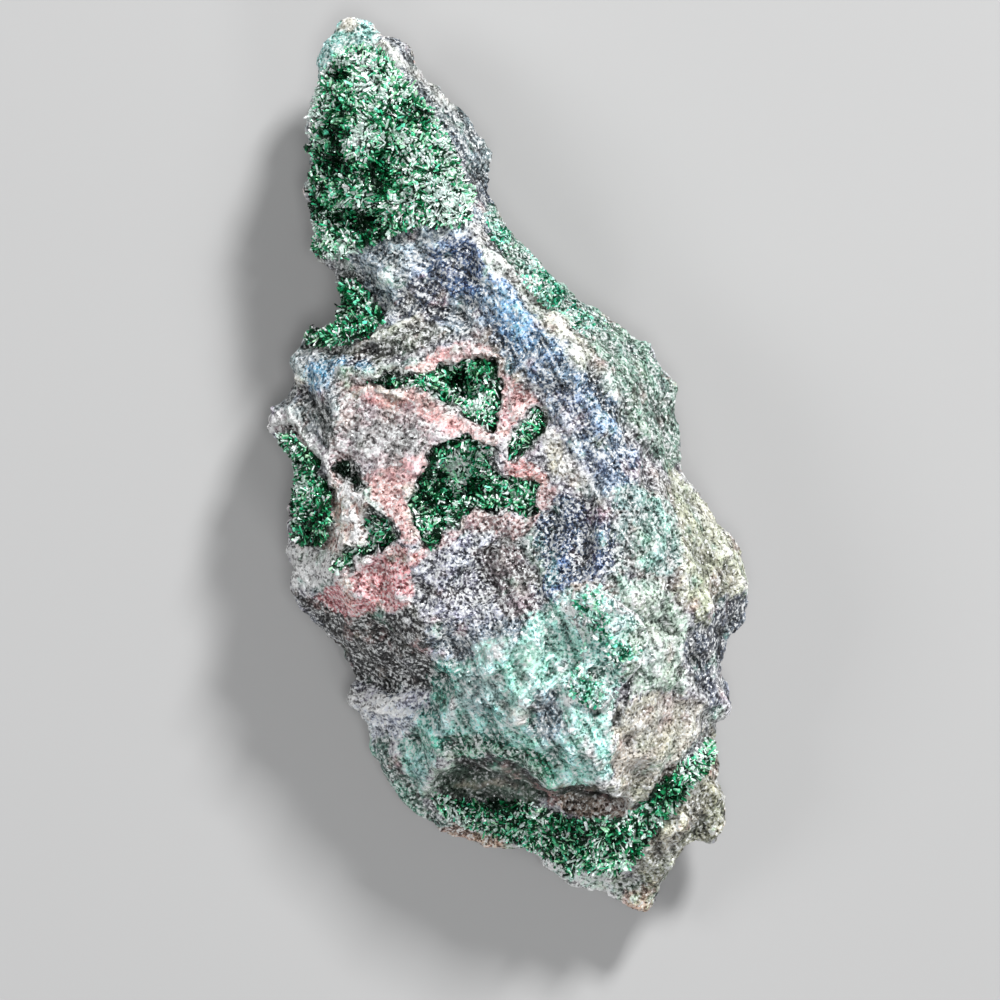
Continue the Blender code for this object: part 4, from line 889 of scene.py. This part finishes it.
def new_material(name, look):
    """A material from a function that says what goes into its shader's inputs."""
    made = bpy.data.materials.new(name)
    made.use_nodes = True
    tree = made.node_tree
    tree.nodes.clear()
    shader = add_node(tree, "BsdfPrincipled", look(tree))
    add_node(tree, "OutputMaterial", {"Surface": shader.outputs["BSDF"]})
    return made


def add_node(tree, kind, inputs, **settings):
    """A new node. Its inputs, by name or by number, are given constants or outputs to link."""
    node = tree.nodes.new("ShaderNode" + kind)
    for name, value in settings.items():
        setattr(node, name, value)
    for key, value in inputs.items():
        if isinstance(value, bpy.types.NodeSocket):
            tree.links.new(value, node.inputs[key])
        else:
            node.inputs[key].default_value = value
    return node


def math_node(tree, operation, *values):
    return add_node(tree, "Math", dict(enumerate(values)), operation=operation).outputs[0]


def total(tree, first, *others):
    for value in others:
        first = math_node(tree, "ADD", first, value)
    return first


def vector_math(tree, operation, *values):
    return add_node(tree, "VectorMath", dict(enumerate(values)), operation=operation)


def attribute(tree, name, output):
    return add_node(tree, "Attribute", {}, attribute_name=name).outputs[output]


def object_place(tree):
    return tree.nodes.new("ShaderNodeTexCoord").outputs["Object"]


def voronoi_cells(tree, place, cell):
    """Cells about this many mm across."""
    return add_node(tree, "TexVoronoi", {"Vector": place, "Scale": 1.0 / (cell * MM)})


def separate(tree, colour):
    return add_node(tree, "SeparateColor", {0: colour}).outputs


def facets(tree, cell, tilt):
    """Flat randomly tilted facets, one to a cell: height in metres, random numbers, and middle."""
    place = object_place(tree)
    voronoi = voronoi_cells(tree, place, cell)
    colour, middle = voronoi.outputs["Color"], voronoi.outputs["Position"]
    away = vector_math(tree, "SUBTRACT", place, middle).outputs[0]
    lean = vector_math(tree, "SUBTRACT", colour, (0.5, 0.5, 0.5)).outputs[0]
    dot = vector_math(tree, "DOT_PRODUCT", away, lean).outputs["Value"]
    return math_node(tree, "MULTIPLY", dot, tilt), separate(tree, colour), middle


def centred(tree, value, gain):
    """A value from 0 to 1 made to swing about zero."""
    return math_node(tree, "MULTIPLY", math_node(tree, "SUBTRACT", value, 0.5), gain)


def bump(tree, height, strength):
    inputs = {"Strength": strength, "Distance": 1.0, "Height": height}
    return add_node(tree, "Bump", inputs).outputs["Normal"]


def scaled_colour(tree, colour, factor):
    inputs = {0: colour, "Scale": factor}
    return add_node(tree, "VectorMath", inputs, operation="SCALE").outputs[0]


def noise_value(tree, place, scale, detail):
    """Noise from 0 to 1, with this many lumps to a unit of the place."""
    inputs = {"Vector": place, "Scale": scale, "Detail": detail}
    return add_node(tree, "TexNoise", inputs).outputs["Fac"]


def mixed(tree, first, second, factor):
    inputs = {"Factor": factor, 6: first, 7: second}
    return add_node(tree, "Mix", inputs, data_type="RGBA").outputs[2]


def stretched(tree, value, low, high):
    """A value that goes from 0 to 1 between two limits."""
    return add_node(tree, "MapRange", {"Value": value, "From Min": low, "From Max": high}).outputs[0]


def striped(tree, place, angle, across, along):
    """Noise from 0 to 1 drawn out along a direction in plan, in degrees; sizes in mm."""
    inputs = {
        "Vector": place,
        "Rotation": (0, 0, np.radians(angle)),
        "Scale": (along * MM, across * MM, along * MM),
    }
    turned = add_node(tree, "Mapping", inputs, vector_type="TEXTURE").outputs[0]
    return noise_value(tree, turned, 1.0, detail=1.5)


def rock_look(tree):
    """Grains from near black to white over each point's tint, partly their own colour and partly painted
    shade and painted glints, with tilted glinting facets.
    """
    tint, speck = attribute(tree, "tint", "Color"), attribute(tree, "speck", "Fac")
    grain = attribute(tree, "grain", "Color")
    height, coarse, _ = facets(tree, cell=0.32, tilt=1.3)
    small, fine, middle = facets(tree, cell=0.20, tilt=1.0)
    clumps = noise_value(tree, middle, 1.0 / (0.45 * MM), detail=1.0)
    borders = voronoi_cells(tree, object_place(tree), cell=0.46).outputs["Distance"]
    shades = ((coarse[0], 0.85), (fine[0], 1.10), (clumps, 2.2), (borders, 1.5))
    level = total(tree, *(centred(tree, value, gain) for value, gain in shades))
    # Where the rock has a grain, stripes along it take the place of some of the speckle.
    lined = vector_math(tree, "LENGTH", grain).outputs["Value"]
    level = math_node(tree, "MULTIPLY", level, math_node(tree, "MULTIPLY_ADD", lined, -0.50, 1.15))
    for angle, share in zip(GRAIN_ANGLES, separate(tree, grain)):
        stripe = centred(tree, striped(tree, middle, angle, across=0.36, along=2.6), 2.2)
        level = math_node(tree, "ADD", level, math_node(tree, "MULTIPLY", stripe, share))
    level = math_node(tree, "MULTIPLY_ADD", level, speck, 0.5)
    # The darkest grains are partly painted shade, the white ones partly painted glints.
    dark = scaled_colour(tree, vector_math(tree, "MULTIPLY", tint, tint).outputs[0], 0.25)
    body = mixed(tree, dark, tint, stretched(tree, level, low=0.03, high=0.46))
    pale_grain_and_glint = math_node(tree, "MULTIPLY", stretched(tree, level, low=0.64, high=1.00), 0.95)
    crest = math_node(tree, "MULTIPLY", level, 0.10 * MM)
    return {
        "Base Color": mixed(tree, body, mixed(tree, tint, GLINT, 0.80), pale_grain_and_glint),
        "Roughness": math_node(tree, "MULTIPLY_ADD", coarse[2], 0.40, 0.14),
        "Specular IOR Level": 0.6,
        "Normal": bump(tree, total(tree, height, small, crest), 0.75),
    }


def crystal_look(tree):
    """Glassy green, a little lighter or darker from facet to facet."""
    height, grain, _ = facets(tree, cell=0.30, tilt=0.35)
    vary = math_node(tree, "MULTIPLY_ADD", grain[0], 0.9, 0.55)
    return {
        "Base Color": scaled_colour(tree, attribute(tree, "tint", "Color"), vary),
        "Roughness": math_node(tree, "MULTIPLY_ADD", grain[1], 0.16, 0.06),
        "IOR": 1.73,
        "Specular IOR Level": 0.5,
        "Specular Tint": (0.72, 1.0, 0.86, 1.0),
        "Normal": bump(tree, height, 0.4),
    }


def floor_look(tree):
    clouds = add_node(tree, "TexNoise", {"Scale": 40.0}).outputs["Fac"]
    soft = math_node(tree, "MULTIPLY_ADD", clouds, 0.02, 0.42)
    grey = add_node(tree, "CombineColor", {0: soft, 1: soft, 2: soft}).outputs[0]
    return {"Base Color": grey, "Roughness": 0.7}


# Studio.

# Each light's name, place, size in metres and power in watts
LIGHTS = (
    ("key", (0.34, 0.60, 0.62), 0.16, 9.6),
    ("fill", (-0.60, 0.10, 0.62), 0.28, 1.7),
    ("top", (0.03, -0.08, 0.90), 0.18, 2.2),
    ("low", (0.26, -0.60, 0.50), 0.18, 1.3),
)
SENSOR = 36.0
HALF_VIEW = 0.0638  # half the picture's width at a distance of 1
CAMERA_SPOT = (-0.85, -3.85, EYE_HEIGHT)  # mm


def add_area(name, spot, size, power):
    """A square light that points at the specimen; metres and watts."""
    light = bpy.data.lights.new(name, "AREA")
    light.energy = power
    light.size = size
    obj = new_object(name, light)
    obj.location = spot
    obj.rotation_euler = (-Vector(spot)).to_track_quat("-Z", "Y").to_euler()


def studio():
    bm = bmesh.new()
    bmesh.ops.create_grid(bm, x_segments=2, y_segments=2, size=1.5)
    mesh = bpy.data.meshes.new("floor")
    bm.to_mesh(mesh)
    bm.free()
    floor = new_object("floor", mesh)
    floor.data.materials.append(new_material("pale_floor", floor_look))
    world = bpy.data.worlds.new("studio")
    world.use_nodes = True
    background = world.node_tree.nodes["Background"]
    background.inputs["Color"].default_value = (0.95, 0.97, 1.0, 1)
    background.inputs["Strength"].default_value = 0.15
    bpy.context.scene.world = world
    for name, spot, size, power in LIGHTS:
        add_area(name, spot, size, power)


def camera():
    """Straight down from above, as in the photo."""
    data = bpy.data.cameras.new("camera")
    data.sensor_width = SENSOR
    data.lens = SENSOR / (2 * HALF_VIEW)
    data.clip_start = 0.01
    obj = new_object("camera", data)
    obj.location = Vector(CAMERA_SPOT) * MM
    bpy.context.scene.camera = obj


def main():
    sparkling = new_material("sparkling_matrix", rock_look)
    glassy = new_material("brochantite_crystals", crystal_look)
    rock = build_matrix()
    rock.data.materials.append(sparkling)
    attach(rock, "root")
    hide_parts("matrix")
    bm = bmesh.new()
    bm.from_mesh(rock.data)
    tree = BVHTree.FromBMesh(bm)
    bm.free()
    for index, node in enumerate(CRUSTS):
        crust, numbers = grow_crust(node, index, tree)
        crust.data.materials.append(glassy)
        crust.data.materials.append(sparkling if CRUSTS[node][3] else glassy)
        crust.data.polygons.foreach_set("material_index", numbers)
        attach(crust, "root")
        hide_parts(node)
    studio()
    camera()
    bpy.context.scene.view_settings.view_transform = "Standard"


main()
